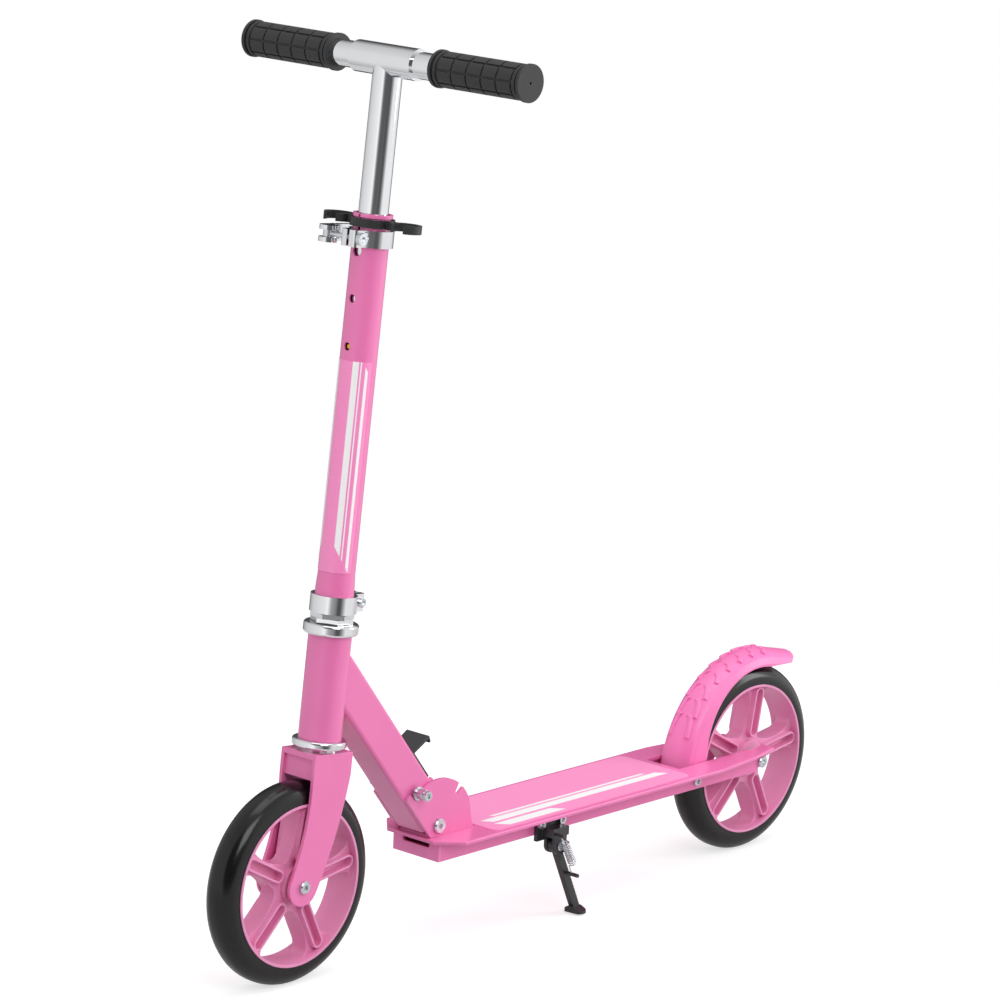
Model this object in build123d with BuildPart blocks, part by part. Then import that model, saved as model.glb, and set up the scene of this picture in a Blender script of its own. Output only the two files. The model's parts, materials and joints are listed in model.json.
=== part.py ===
from build123d import *
import math
import os

os.makedirs("parts", exist_ok=True)

# Kick scooter in millimetres: +Z up, -X forward, -Y the rider's left, ground at z = 0.

# Stance
WHEEL_BASE = 682.4
WHEEL_DIAMETER = 200.0
RUNNING_CLEARANCE = 0.05  # radial play of a turning or sliding fit
SEAT_CLEARANCE = 0.02  # play of pieces that are fixed to each other
SIDE_PLAY = 0.3  # gap between faces that pass each other
CUT_PAST = 1.0  # how far a cut runs past the face it opens
HEAD_CHAMFER_SHARE = 0.3  # of a bolt head's height
GAP_STEP = 0.4  # between the points on which a spring's gap is measured

# Wheels
TYRE_WIDTH = 34.0
TYRE_CROWN_RADIUS = 15.5
RIM_DIAMETER = 160.0
RIM_WIDTH = 36.0
RIM_WALL = 2.6
SPOKE_COUNT = 5
SPOKE_START_ANGLE = 8.0
SPOKE_THICKNESS = 18.0
SPOKE_GROOVE_LENGTH = 50.0
SPOKE_GROOVE_WIDTH = 9.0
SPOKE_GROOVE_DEPTH = 9.0  # from the top of the rib round it
SPOKE_GROOVE_RADIUS = 49.5  # from the axle to the middle of the groove
SPOKE_RIB_WALL = 2.0
SPOKE_RIB_HEIGHT = 5.5
SPOKE_RIB_DRAFT = 8.0
WINDOW_INNER_RADIUS = 26.5
WINDOW_NECK_HALF = 7.0
WINDOW_WAIST_RADIUS = 46.0
WINDOW_WAIST_HALF = 23.5
WINDOW_HALF_ANGLE = 24.5
WINDOW_CORNER = 7.0
HUB_DIAMETER = 38.0
HUB_WIDTH = 29.0
BEARING_DIAMETER = 22.0
BEARING_WIDTH = 7.0
BEARING_PLAY = 0.2  # gap between a bearing and the spacer beside it
HUB_SPACER_DIAMETER = 12.0
AXLE_DIAMETER = 8.0
AXLE_HEAD_DIAMETER = 13.0
AXLE_HEAD_HEIGHT = 3.5
AXLE_NUT_ACROSS = 13.0
AXLE_NUT_HEIGHT = 6.0
SOCKET_ACROSS = 5.0
SOCKET_DEPTH = 2.2

# Steering column, heights along the steering axis from the level of the front axle
RAKE = 5.38
FORK_OFFSET = 25.0
CROWN_TOP = 128.0
CROWN_PLATE = 5.0
CROWN_WALL = 4.0
CROWN_FLOOR = 106.0
CROWN_FRONT_FLOOR = 102.5
CROWN_FRONT = 27.0
CROWN_REAR = 24.5
CROWN_FRONT_RECESS = 3.0
LEG_INNER_HALF = 19.0
LEG_THICKNESS = 3.5
LEG_END_RADIUS = 19.0
LEG_FRONT_ANGLE = 165.0  # where the rounded end meets the front edge
LEG_REAR_ANGLE = -22.2
LEG_FRONT_BOW = (-30.6, 48.0)  # middle of the curved front edge
LEG_REAR_BOW = (12.6, 49.0)
STEERER_DIAMETER = 28.6
STEERER_WALL = 2.3
STEERER_TOP = 345.0
RACE_HEIGHT = 2.2
RACE_DIAMETER = 38.0
LOWER_CUP_HEIGHT = 8.0
HEAD_TUBE_BOTTOM = 139.0
HEAD_TUBE_TOP = 241.0
HEAD_TUBE_DIAMETER = 42.0
HEAD_TUBE_WALL = 4.0
CUP_DIAMETER = 53.0
CUP_SPIGOT_LENGTH = 9.0
CUP_SPIGOT_WALL = 1.8
CUP_EDGE = 2.5
HEAD_BEARING_DIAMETER = 40.4
HEAD_BEARING_HEIGHT = 5.6
UPPER_CUP_HEIGHT = 11.0
HEAD_NUT_ACROSS = 36.5
HEAD_NUT_HEIGHT = 4.4

# Stem
STEM_DIAMETER = 35.6
STEM_WALL = 2.0
STEM_BOTTOM = 262.5
STEM_TOP = 643.0
STEM_FOOT_DIAMETER = 37.4
STEM_FOOT_LENGTH = 21.0
STEM_FOOT_TAPER = 16.0
STEM_LIP_DIAMETER = 38.0
STEM_LIP_HEIGHT = 3.5
SLIT_WIDTH = 3.0
HEIGHT_HOLE_DIAMETER = 8.0
HEIGHT_HOLE_PITCH = 45.5
SLIT_HOLE_DIAMETER = 11.0
BUTTON_HEIGHT = 517.0
SHEET_BOTTOM = 302.0
SHEET_BUTTON_GAP = 13.0  # from the stem sheet to the height button
SHEET_THICKNESS = 0.3
SHEET_CLEARANCE = 0.05
BUSH_BOTTOM = 615.0
CLAMP_BORE_PLAY = 0.05
CLAMP_WALL = 3.8
LOWER_CLAMP_BOTTOM = 262.0
LOWER_CLAMP_HEIGHT = 17.0
LOWER_CLAMP_BOLT_REACH = 28.0
LOWER_CLAMP_EAR_END = 34.0
LOWER_CLAMP_EAR_HALF = 9.0
CLAMP_GAP = 3.0
CLAMP_BOLT_DIAMETER = 5.0
CLAMP_BOLT_HEAD_DIAMETER = 9.0
CLAMP_BOLT_HEAD_HEIGHT = 4.0
HEIGHT_CLAMP_BOTTOM = 612.0
HEIGHT_CLAMP_HEIGHT = 16.0
HEIGHT_CLAMP_BOLT_REACH = 25.5
HEIGHT_CLAMP_EAR_END = 31.5
HEIGHT_CLAMP_EAR_HALF = 10.0
ROUND_NUT_DIAMETER = 12.0
ROUND_NUT_HEIGHT = 4.5
LEVER_PIN_REACH = 31.0  # from the stem axis to the lever pin, to the right
LEVER_PIN_DIAMETER = 5.0
LEVER_LOBE_DIAMETER = 18.0
LEVER_FORK_GAP = 7.0
LEVER_EYE_DIAMETER = 10.0
LEVER_ARM_THICKNESS = 6.0
LEVER_ARM_LENGTH = 48.0
LEVER_RIB_DEPTH = 1.2
CLIP_BOTTOM = 630.5
CLIP_HEIGHT = 8.0
CLIP_WALL = 3.5
CLIP_JAW_REACH = 43.5
CLIP_JAW_BORE = 23.0
CLIP_JAW_WALL = 3.2
CLIP_JAW_MOUTH = 15.0
CLIP_ARM_WIDTH = 7.0

# Handlebar
BAR_HEIGHT = 786.8
INNER_TUBE_DIAMETER = 28.5
INNER_TUBE_WALL = 1.6
INNER_TUBE_TAIL = 70.0  # from the height button to the tube's lower end
GUIDE_HEIGHT = 26.0
SLEEVE_HALF_LENGTH = 39.0
SLEEVE_WALL = 2.3
BAR_DIAMETER = 25.6
BAR_WALL = 1.7
BAR_INNER_END = 5.0
BAR_OUTER_END = 173.0
GRIP_INNER_END = 65.0
GRIP_OUTER_END = 177.0
GRIP_DIAMETER = 34.0
GRIP_FLANGE_DIAMETER = 36.0
GRIP_RING_WIDTH = 3.2
GRIP_RING_GAP = 2.2
GRIP_CORE_DIAMETER = 31.0
GRIP_BLOCK_COUNT = 5
GRIP_BLOCK_GAP = 2.0
GRIP_ROW_COUNT = 8
GRIP_ROW_GAP = 2.4
GRIP_END_HOLE = 2.6
BUTTON_DIAMETER = 7.0
BUTTON_DOME_SHARE = 0.3  # rounding of a button's end, of its diameter
BUTTON_REST_REACH = 15.4  # radius of the pressed dome from the stem axis
LEAF_WIDTH = 8.0
LEAF_THICKNESS = 0.8
LEAF_LENGTH = 42.0
LEAF_REACH = 7.3
BAR_BUTTON_DIAMETER = 6.0
BAR_BUTTON_POSITION = 24.0
BAR_BUTTON_REST_REACH = 12.6
BAR_LEAF_WIDTH = 7.0
BAR_LEAF_LENGTH = 30.0
BAR_LEAF_REACH = 5.8

# Deck
DECK_TOP = 113.5
DECK_PLATE = 3.5
DECK_HALF_WIDTH = 53.5
DECK_EDGE = 1.2
DECK_BOTTOM = 90.0
BOX_HALF_WIDTH = 30.5
BOX_WALL = 3.0
BOX_FRONT = -158.0
LIP_FRONT = -170.0
LIP_HALF_WIDTH = 31.0
DECK_FULL_WIDTH_FROM = -147.0
TAPER_REACH = 91.2  # from the rear axle forward to where the deck narrows
TAPER_MID_REACH = 30.2
TAPER_MID_HALF_WIDTH = 45.6
ARM_OVERHANG = 14.8  # of the arms behind the rear axle
ARM_END_HALF_WIDTH = 35.0
CUTOUT_REACH = 127.2  # from the rear axle forward to the wheel's cut-out
CUTOUT_HALF_WIDTH = 22.5
FLOOR_REACH = 129.2
ARM_SLANT_LENGTH = 24.0
CAP_THICKNESS = 3.0
CAP_SLOT_LENGTH = 36.0
CAP_SLOT_HEIGHT = 5.5
CAP_SLOT_DROP = 9.0
GRIP_SHEET_FRONT = -98.0
GRIP_SHEET_REAR_GAP = 10.0  # from the sheet to the cut-out
GRIP_SHEET_HALF_WIDTH = 48.0
GRIP_SHEET_THICKNESS = 0.8
GRIP_SHEET_CORNER = 9.0

# Folding joint
PIVOT_X = -154.5
PIVOT_RISE = 11.2
FOLD_BOLT_DIAMETER = 10.0
FOLD_BOLT_HEAD_DIAMETER = 15.0
FOLD_NUT_ACROSS = 15.0
DOWN_TUBE_ANGLE = 50.8
DOWN_TUBE_WIDTH = 38.0
DOWN_TUBE_FRONT = 16.2
DOWN_TUBE_REAR = 23.0
DOWN_TUBE_WALL = 2.5
DOWN_TUBE_CORNER = 4.0
TUBE_END_RADIUS = 8.2
TUBE_FRONT_START = 6.0
TUBE_REAR_START = 11.5
PIVOT_SLEEVE_DIAMETER = 16.4
FOLD_ANGLE = 80.0
BRACKET_GAP_HALF = 19.35
BRACKET_PLATE = 3.5
BRACKET_BASE = 2.3
BRACKET_RADIUS = 47.5
BRACKET_HORN_RADIUS = 57.0
BRACKET_HORN_ANGLE = 137.5
BRACKET_FRONT_LINE = 15.0
BRACKET_REAR = 50.0
BRACKET_REAR_ANGLE = 22.0
BRACKET_SCREW_DIAMETER = 5.0
BRACKET_SCREW_HEAD = 8.0
BRACKET_SCREW_HEAD_HEIGHT = 1.4
BRACKET_SCREW_REAR = 41.0  # from the pivot to the rear screws
BRACKET_SCREW_FRONT = 29.0
BRACKET_SCREW_HALF = 12.0
LOCK_PIN_DIAMETER = 5.0
LOCK_REACH = 50.4  # from the fold pivot to the released pin
LOCK_TRAVEL = 7.4
NOTCH_PLAY = 0.2
FOLDED_NOTCH_EXTRA = 3.5  # the folded notch is deeper and flares
FOLDED_NOTCH_SLOPE = 0.2
BUSH_DIAMETER = 11.0
BUSH_LENGTH = 9.5
WASHER_DIAMETER = 14.0
WASHER_THICKNESS = 1.4
PIN_HEAD_DIAMETER = 10.0
PIN_HEAD_HEIGHT = 3.4
RELEASE_HALF_WIDTH = 15.0
RELEASE_THICKNESS = 2.0
RELEASE_TOP = 81.0
RELEASE_TAB_REACH = 50.0
RELEASE_TAB_DROP = 4.0
RELEASE_LIP = 6.0
RELEASE_GAP = 0.4
RELEASE_FOOT_HALF = 6.0
RELEASE_FOOT_DEPTH = 9.0
LOCK_SPRING_WIRE = 1.2
LOCK_SPRING_RADIUS = 4.2
LOCK_SPRING_PITCH = 2.6
LOCK_SPRING_TURNS = 10
SPRING_SEAT_DIAMETER = 6.0

# Kickstand
STAND_PIVOT_X = 0.0
STAND_PIVOT_Z = 79.0
STAND_PLATE_HALF = 20.0
STAND_PLATE_TOP = 106.0
STAND_PLATE_BOTTOM = 84.0
STAND_PLATE = 4.0
STAND_EAR = 3.5
STAND_EAR_RADIUS = 9.0
STAND_EAR_GAP = 7.6
STAND_BRIDGE_HALF = 12.0
STAND_BRIDGE_BOTTOM = 89.0
STAND_BRIDGE_TOP = 98.0
STAND_SCREW_HALF = 15.5
STAND_SCREW_Z = 101.0
STAND_SCREW_DIAMETER = 5.0
STAND_SCREW_HEAD = 9.0
STAND_SCREW_HEAD_HEIGHT = 3.5
STAND_PIN_DIAMETER = 6.0
STAND_PIN_HEAD = 10.0
STAND_PIN_HEAD_HEIGHT = 1.2
STAND_EYE_RADIUS = 8.0
STAND_LEG_WIDTH = 8.0
STAND_FOOT_X = 34.0
STAND_ANKLE_Z = 8.0
STAND_FOOT_LENGTH = 13.0
STAND_FOOT_INNER = 32.0
STAND_FOOT_OUTER = 55.0
STAND_FOOT_THICKNESS = 3.2
STAND_FOOT_CORNER = 5.0
STAND_TOE_THICKNESS = 2.2
STAND_ANKLE_THICKNESS = 6.5
STAND_LEAN = 2.3
STUD_DIAMETER = 4.0
STUD_END = 61.0
STAND_STUD_X = -9.0
STAND_STUD_Z = 93.0
LEG_STUD_REACH = 35.0
STAND_SPRING_WIRE = 1.4
STAND_SPRING_RADIUS = 3.7
STAND_SPRING_PITCH = 2.5
STAND_SPRING_TURNS = 11
STAND_SPRING_BEND = 2.2

# Brake
BRAKE_PIVOT_REACH = 107.6  # from the rear axle forward
BRAKE_PIVOT_Z = 98.8
BRAKE_BOLT_DIAMETER = 6.0
BRAKE_BOLT_HEAD = 10.0
BRAKE_NUT_ACROSS = 10.0
BRAKE_NUT_HEIGHT = 5.0
BRAKE_BOSS_DIAMETER = 13.0
BRAKE_SPACER_WALL = 1.2
FENDER_HALF_WIDTH = 20.8
FENDER_BASE = (181.5, 16.0)  # points of the ridge: angle about the rear axle, height over the tyre
FENDER_WAIST = (141.0, 12.3)
FENDER_SHOULDER = (111.1, 13.7)
FENDER_TAIL_ROOT = (74.2, 17.7)
FENDER_TAIL_LENGTH = 37.0
FENDER_TAIL_CORNER = 15.0
FENDER_WALL = 3.4
FENDER_DOME = 7.5  # from the ridge down to the crease
FENDER_CREASE_HALF = 18.5
FENDER_SIDE_DROP = 14.0  # from the ridge down to the upright skirt
FENDER_SKIRT = 1.9
FENDER_SKIRT_DEPTH = 32.0
FENDER_SKIRT_SHIFT = (2.0, 18.0)
FENDER_SKIRT_INSET = 18.0  # from the tyre's radius to the skirt's rounded edge
FENDER_EDGE_LEAD = 6.0  # where the straight edge of the tail begins, before its root
FENDER_EDGE_DEPTH = 17.0
FENDER_TIP_DEPTH = 9.5
SHOE_GAP = 4.6  # from the tyre to the brake shoe
SHOE_LENGTH = 16.0
SHOE_WIDTH = 14.0
BRAKE_SPRING_WIRE = 1.4
BRAKE_SPRING_RADIUS = 5.4
BRAKE_SPRING_PITCH = 1.9
BRAKE_SPRING_TURNS = 2
BRAKE_SPRING_TAIL = 9.0

# Frames and shared sizes
wheel_radius = WHEEL_DIAMETER / 2
rim_radius = RIM_DIAMETER / 2
axle_radius = AXLE_DIAMETER / 2
axle_bore = axle_radius + RUNNING_CLEARANCE
front_centre = Vector(-WHEEL_BASE / 2, 0, wheel_radius)
rear_centre = Vector(WHEEL_BASE / 2, 0, wheel_radius)
rake = math.radians(RAKE)
column_back = Vector(math.cos(rake), 0, -math.sin(rake))
column_up = Vector(math.sin(rake), 0, math.cos(rake))
column_foot = front_centre + column_back * FORK_OFFSET
arm_end = rear_centre.X + ARM_OVERHANG
taper_from = rear_centre.X - TAPER_REACH
taper_mid = rear_centre.X - TAPER_MID_REACH
cutout_front = rear_centre.X - CUTOUT_REACH
floor_end = rear_centre.X - FLOOR_REACH
grip_sheet_rear = cutout_front - GRIP_SHEET_REAR_GAP
brake_pivot_x = rear_centre.X - BRAKE_PIVOT_REACH
column = Plane(origin=column_foot, x_dir=column_back, z_dir=column_up)
column_side = Plane(origin=column_foot, x_dir=column_back, z_dir=(0, -1, 0))
column_axis = Axis(column_foot, column_up)
leg_outer_half = LEG_INNER_HALF + LEG_THICKNESS
steerer_radius = STEERER_DIAMETER / 2
steerer_seat = steerer_radius + SEAT_CLEARANCE
stem_radius = STEM_DIAMETER / 2
stem_bore = stem_radius - STEM_WALL
inner_radius = INNER_TUBE_DIAMETER / 2
inner_tube_bottom = BUTTON_HEIGHT - INNER_TUBE_TAIL
bar_radius = BAR_DIAMETER / 2
sleeve_bore = bar_radius + RUNNING_CLEARANCE
sleeve_radius = sleeve_bore + SLEEVE_WALL
tilt = math.radians(DOWN_TUBE_ANGLE)
pivot = Vector(PIVOT_X, 0, DECK_TOP + PIVOT_RISE)
tube_up = Vector(-math.cos(tilt), 0, math.sin(tilt))
tube_back = Vector(math.sin(tilt), 0, math.cos(tilt))
tube_side = Plane(origin=pivot, x_dir=tube_back, z_dir=(0, -1, 0))
bracket_side = Plane(origin=pivot, x_dir=(1, 0, 0), z_dir=(0, -1, 0))
bracket_outer_half = BRACKET_GAP_HALF + BRACKET_PLATE
web_inner = BOX_HALF_WIDTH - BOX_WALL
lock_angle = 180 - DOWN_TUBE_ANGLE
deck_floor = DECK_TOP - DECK_PLATE


def side_plane(y):
    return Plane.XZ.offset(-y)


def write(piece, name):
    piece.part.label = name
    export_step(piece.part, "parts/" + name + ".step")


def polar(radius, angle):
    return (radius * math.cos(math.radians(angle)), radius * math.sin(math.radians(angle)))


def bolt_with_nut(plane, near, far, diameter, head, head_height, nut_across, nut_height):
    """Bolt along the plane's normal: head beyond near, nut beyond far on the other side."""
    with BuildPart() as bolt:
        with BuildSketch(plane.offset(-far - nut_height)):
            Circle(diameter / 2)
        extrude(amount=near + far + nut_height)
        with BuildSketch(plane.offset(near)):
            Circle(head / 2)
        extrude(amount=head_height)
        rim_edges = bolt.edges().filter_by(GeomType.CIRCLE)
        chamfer(rim_edges.sort_by(Axis(plane.origin, plane.z_dir))[-1], head_height * HEAD_CHAMFER_SHARE)
        with BuildSketch(plane.offset(near + head_height)):
            RegularPolygon(SOCKET_ACROSS / 2, 6, major_radius=False)
        extrude(amount=-SOCKET_DEPTH, mode=Mode.SUBTRACT)
    with BuildPart() as nut:
        with BuildSketch(plane.offset(-far - nut_height)):
            RegularPolygon(nut_across / 2, 6, major_radius=False)
            Circle(diameter / 2 + SEAT_CLEARANCE, mode=Mode.SUBTRACT)
        extrude(amount=nut_height)
    with BuildPart() as pair:
        add(bolt.part)
        add(nut.part)
    return pair


def coil_points(frame, radius, pitch, turns):
    """Points of a helix at every quarter turn, each with its direction."""
    rise = pitch / (2 * math.pi)
    found = []
    for quarter in range(turns * 4 + 1):
        angle = quarter * math.pi / 2
        place = Vector(radius * math.cos(angle), radius * math.sin(angle), rise * angle)
        heading = Vector(-radius * math.sin(angle), radius * math.cos(angle), rise).normalized()
        start = frame.from_local_coords(place)
        found.append((start, frame.from_local_coords(place + heading) - start))
    return found


def coil_arcs(points):
    """Two touching arcs between each pair of neighbouring points."""
    for (start, start_way), (end, end_way) in zip(points, points[1:]):
        span = end - start
        both = start_way + end_way
        bend = 2 * (1 - start_way.dot(end_way))
        along = span.dot(both)
        reach = (-along + math.sqrt(along * along + bend * span.dot(span))) / bend
        middle = (start + start_way * reach + end - end_way * reach) * 0.5
        first = TangentArc(start, middle, tangent=start_way)
        TangentArc(middle, end, tangent=first % 1)


def least_gap(wire, thickness, turn_length):
    """Smallest distance between the wire's surfaces at places more than half a turn apart."""
    count = max(200, int(wire.length / GAP_STEP))
    places = [wire.position_at(step / count) for step in range(count + 1)]
    skip = int(turn_length * 0.5 / (wire.length / count))
    return min(
        (places[i] - places[j]).length for i in range(count) for j in range(i + skip, count + 1)
    ) - thickness


def make_wheel(prefix, centre):
    face = Plane(origin=centre, x_dir=(1, 0, 0), z_dir=(0, -1, 0))
    section = Plane(origin=centre, x_dir=(0, 1, 0), z_dir=(1, 0, 0))
    bearing_inner = HUB_WIDTH / 2 - BEARING_WIDTH
    barrel_radius = rim_radius - RIM_WALL
    spoke_face = SPOKE_THICKNESS / 2
    rib_side = SPOKE_RIB_WALL + SPOKE_RIB_HEIGHT * math.tan(math.radians(SPOKE_RIB_DRAFT))
    rib_top = spoke_face + SPOKE_RIB_HEIGHT

    with BuildPart() as tyre:
        with BuildSketch(section) as profile:
            with Locations((0, (wheel_radius + rim_radius) / 2)):
                Rectangle(TYRE_WIDTH, wheel_radius - rim_radius)
            fillet(profile.vertices().group_by(Axis.Y)[-1], TYRE_CROWN_RADIUS)
        revolve(axis=Axis(centre, (0, 1, 0)))
    write(tyre, prefix + "_tyre")

    with BuildPart() as rim:
        with BuildSketch(face):
            Circle(rim_radius - SEAT_CLEARANCE)
            Circle(barrel_radius, mode=Mode.SUBTRACT)
        extrude(amount=RIM_WIDTH / 2, both=True)
        with BuildSketch(face):
            Circle(barrel_radius + RIM_WALL / 2)
        extrude(amount=SPOKE_THICKNESS / 2, both=True)
        with BuildSketch(face):
            Circle(HUB_DIAMETER / 2)
        extrude(amount=HUB_WIDTH / 2, both=True)
        with BuildSketch(face):
            with PolarLocations(0, SPOKE_COUNT, start_angle=SPOKE_START_ANGLE + 180 / SPOKE_COUNT):
                corner = polar(barrel_radius, WINDOW_HALF_ANGLE)
                neck = (WINDOW_INNER_RADIUS + WINDOW_NECK_HALF / 2, WINDOW_NECK_HALF)
                with BuildSketch(mode=Mode.PRIVATE) as window:
                    with BuildLine():
                        ThreePointArc((corner[0], -corner[1]), (barrel_radius, 0), corner)
                        ThreePointArc(corner, (WINDOW_WAIST_RADIUS, WINDOW_WAIST_HALF), neck)
                        ThreePointArc(neck, (WINDOW_INNER_RADIUS, 0), (neck[0], -neck[1]))
                        ThreePointArc(
                            (neck[0], -neck[1]),
                            (WINDOW_WAIST_RADIUS, -WINDOW_WAIST_HALF),
                            (corner[0], -corner[1]),
                        )
                    make_face()
                    fillet(window.vertices().group_by(Axis.X)[-1], WINDOW_CORNER)
                add(window.sketch)
        extrude(amount=SPOKE_THICKNESS, both=True, mode=Mode.SUBTRACT)
        for way in (1, -1):
            with BuildSketch(face.offset(way * spoke_face)):
                with PolarLocations(SPOKE_GROOVE_RADIUS, SPOKE_COUNT, start_angle=SPOKE_START_ANGLE):
                    SlotOverall(SPOKE_GROOVE_LENGTH + 2 * rib_side, SPOKE_GROOVE_WIDTH + 2 * rib_side)
            extrude(amount=way * SPOKE_RIB_HEIGHT, taper=SPOKE_RIB_DRAFT)
            with BuildSketch(face.offset(way * rib_top)):
                with PolarLocations(SPOKE_GROOVE_RADIUS, SPOKE_COUNT, start_angle=SPOKE_START_ANGLE):
                    SlotOverall(SPOKE_GROOVE_LENGTH, SPOKE_GROOVE_WIDTH)
            extrude(amount=-way * SPOKE_GROOVE_DEPTH, mode=Mode.SUBTRACT)
        with BuildSketch(face):
            Circle(HUB_SPACER_DIAMETER / 2 + SIDE_PLAY)
        extrude(amount=HUB_WIDTH, both=True, mode=Mode.SUBTRACT)
        with BuildSketch(face.offset(bearing_inner), face.offset(-HUB_WIDTH / 2)):
            Circle(BEARING_DIAMETER / 2 + SEAT_CLEARANCE)
        extrude(amount=BEARING_WIDTH, mode=Mode.SUBTRACT)
    write(rim, prefix + "_rim")

    with BuildPart() as bearings:
        with BuildSketch(face.offset(bearing_inner), face.offset(-HUB_WIDTH / 2)):
            Circle(BEARING_DIAMETER / 2)
            Circle(axle_bore, mode=Mode.SUBTRACT)
        extrude(amount=BEARING_WIDTH)
    write(bearings, prefix + "_bearings")

    with BuildPart() as spacer:
        with BuildSketch(face):
            Circle(HUB_SPACER_DIAMETER / 2)
            Circle(axle_bore, mode=Mode.SUBTRACT)
        extrude(amount=bearing_inner - SEAT_CLEARANCE, both=True)
    write(spacer, prefix + "_hub_spacer")


def make_axle(prefix, centre, inner_half, outer_half):
    face = Plane(origin=centre, x_dir=(1, 0, 0), z_dir=(0, -1, 0))
    axle = bolt_with_nut(
        face, outer_half, outer_half, AXLE_DIAMETER, AXLE_HEAD_DIAMETER, AXLE_HEAD_HEIGHT,
        AXLE_NUT_ACROSS, AXLE_NUT_HEIGHT,
    )
    write(axle, prefix + "_axle")
    spacer_start = HUB_WIDTH / 2 + BEARING_PLAY
    with BuildPart() as spacers:
        with BuildSketch(face.offset(spacer_start), face.offset(-inner_half)):
            Circle(HUB_SPACER_DIAMETER / 2)
            Circle(axle_radius + SEAT_CLEARANCE, mode=Mode.SUBTRACT)
        extrude(amount=inner_half - spacer_start)
    write(spacers, prefix + "_axle_spacers")


make_wheel("front", front_centre)
make_wheel("rear", rear_centre)
make_axle("front", front_centre, LEG_INNER_HALF, leg_outer_half)
make_axle("rear", rear_centre, web_inner, BOX_HALF_WIDTH)

# Fork: two curved legs, a crown pressing and the steerer tube
with BuildPart() as fork:
    with BuildSketch(column_side.offset(LEG_INNER_HALF)):
        with BuildLine():
            front_turn = polar(LEG_END_RADIUS, LEG_FRONT_ANGLE)
            rear_turn = polar(LEG_END_RADIUS, LEG_REAR_ANGLE)
            front_low = (front_turn[0] - FORK_OFFSET, front_turn[1])
            rear_low = (rear_turn[0] - FORK_OFFSET, rear_turn[1])
            Line((-CROWN_FRONT, CROWN_TOP), (-CROWN_FRONT, CROWN_FLOOR))
            ThreePointArc((-CROWN_FRONT, CROWN_FLOOR), LEG_FRONT_BOW, front_low)
            ThreePointArc(front_low, (-FORK_OFFSET, -LEG_END_RADIUS), rear_low)
            ThreePointArc(rear_low, LEG_REAR_BOW, (CROWN_REAR, CROWN_FLOOR))
            Line((CROWN_REAR, CROWN_FLOOR), (CROWN_REAR, CROWN_TOP))
            Line((CROWN_REAR, CROWN_TOP), (-CROWN_FRONT, CROWN_TOP))
        make_face()
        with Locations((-FORK_OFFSET, 0)):
            Circle(axle_radius + SEAT_CLEARANCE, mode=Mode.SUBTRACT)
    extrude(amount=LEG_THICKNESS)
    mirror(about=Plane.XZ)
    with BuildSketch(column_side) as crown:
        with Locations((-CROWN_FRONT, CROWN_TOP - CROWN_PLATE)):
            Rectangle(CROWN_FRONT + CROWN_REAR, CROWN_PLATE, align=(Align.MIN, Align.MIN))
        with Locations((-CROWN_FRONT + CROWN_FRONT_RECESS, CROWN_FRONT_FLOOR)):
            Rectangle(
                CROWN_WALL, CROWN_TOP - CROWN_FRONT_FLOOR - CROWN_PLATE / 2, align=(Align.MIN, Align.MIN)
            )
        with Locations((CROWN_REAR, CROWN_FLOOR)):
            Rectangle(CROWN_WALL, CROWN_TOP - CROWN_FLOOR - CROWN_PLATE / 2, align=(Align.MAX, Align.MIN))
    extrude(amount=LEG_INNER_HALF, both=True)
    with BuildSketch(column.offset(CROWN_TOP - CROWN_PLATE)):
        Circle(steerer_radius)
    extrude(amount=STEERER_TOP - CROWN_TOP + CROWN_PLATE)
    with BuildSketch(column.offset(CROWN_TOP - CROWN_PLATE)):
        Circle(steerer_radius - STEERER_WALL)
    extrude(amount=STEERER_TOP - CROWN_TOP + CROWN_PLATE, mode=Mode.SUBTRACT)
write(fork, "fork")

# Headset
lower_cup_bottom = HEAD_TUBE_BOTTOM - LOWER_CUP_HEIGHT
upper_cup_top = HEAD_TUBE_TOP + UPPER_CUP_HEIGHT
spigot_radius = HEAD_TUBE_DIAMETER / 2 - HEAD_TUBE_WALL - SEAT_CLEARANCE
spigot_bore = spigot_radius - CUP_SPIGOT_WALL
cup_seat = HEAD_BEARING_DIAMETER / 2 + SEAT_CLEARANCE

with BuildPart() as crown_race:
    with BuildSketch(column.offset(CROWN_TOP)):
        Circle(RACE_DIAMETER / 2)
        Circle(steerer_seat, mode=Mode.SUBTRACT)
    extrude(amount=RACE_HEIGHT)
write(crown_race, "crown_race")

with BuildPart() as lower_cup:
    with BuildSketch(column_side) as profile:
        with BuildLine():
            Polyline(
                (cup_seat, lower_cup_bottom),
                (CUP_DIAMETER / 2, lower_cup_bottom),
                (CUP_DIAMETER / 2, HEAD_TUBE_BOTTOM),
                (spigot_radius, HEAD_TUBE_BOTTOM),
                (spigot_radius, HEAD_TUBE_BOTTOM + CUP_SPIGOT_LENGTH),
                (spigot_bore, HEAD_TUBE_BOTTOM + CUP_SPIGOT_LENGTH),
                (spigot_bore, lower_cup_bottom + HEAD_BEARING_HEIGHT),
                (cup_seat, lower_cup_bottom + HEAD_BEARING_HEIGHT),
                close=True,
            )
        make_face()
        fillet(profile.vertices().group_by(Axis.X)[-1], CUP_EDGE)
    revolve(axis=column_axis)
write(lower_cup, "headset_lower_cup")

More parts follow.
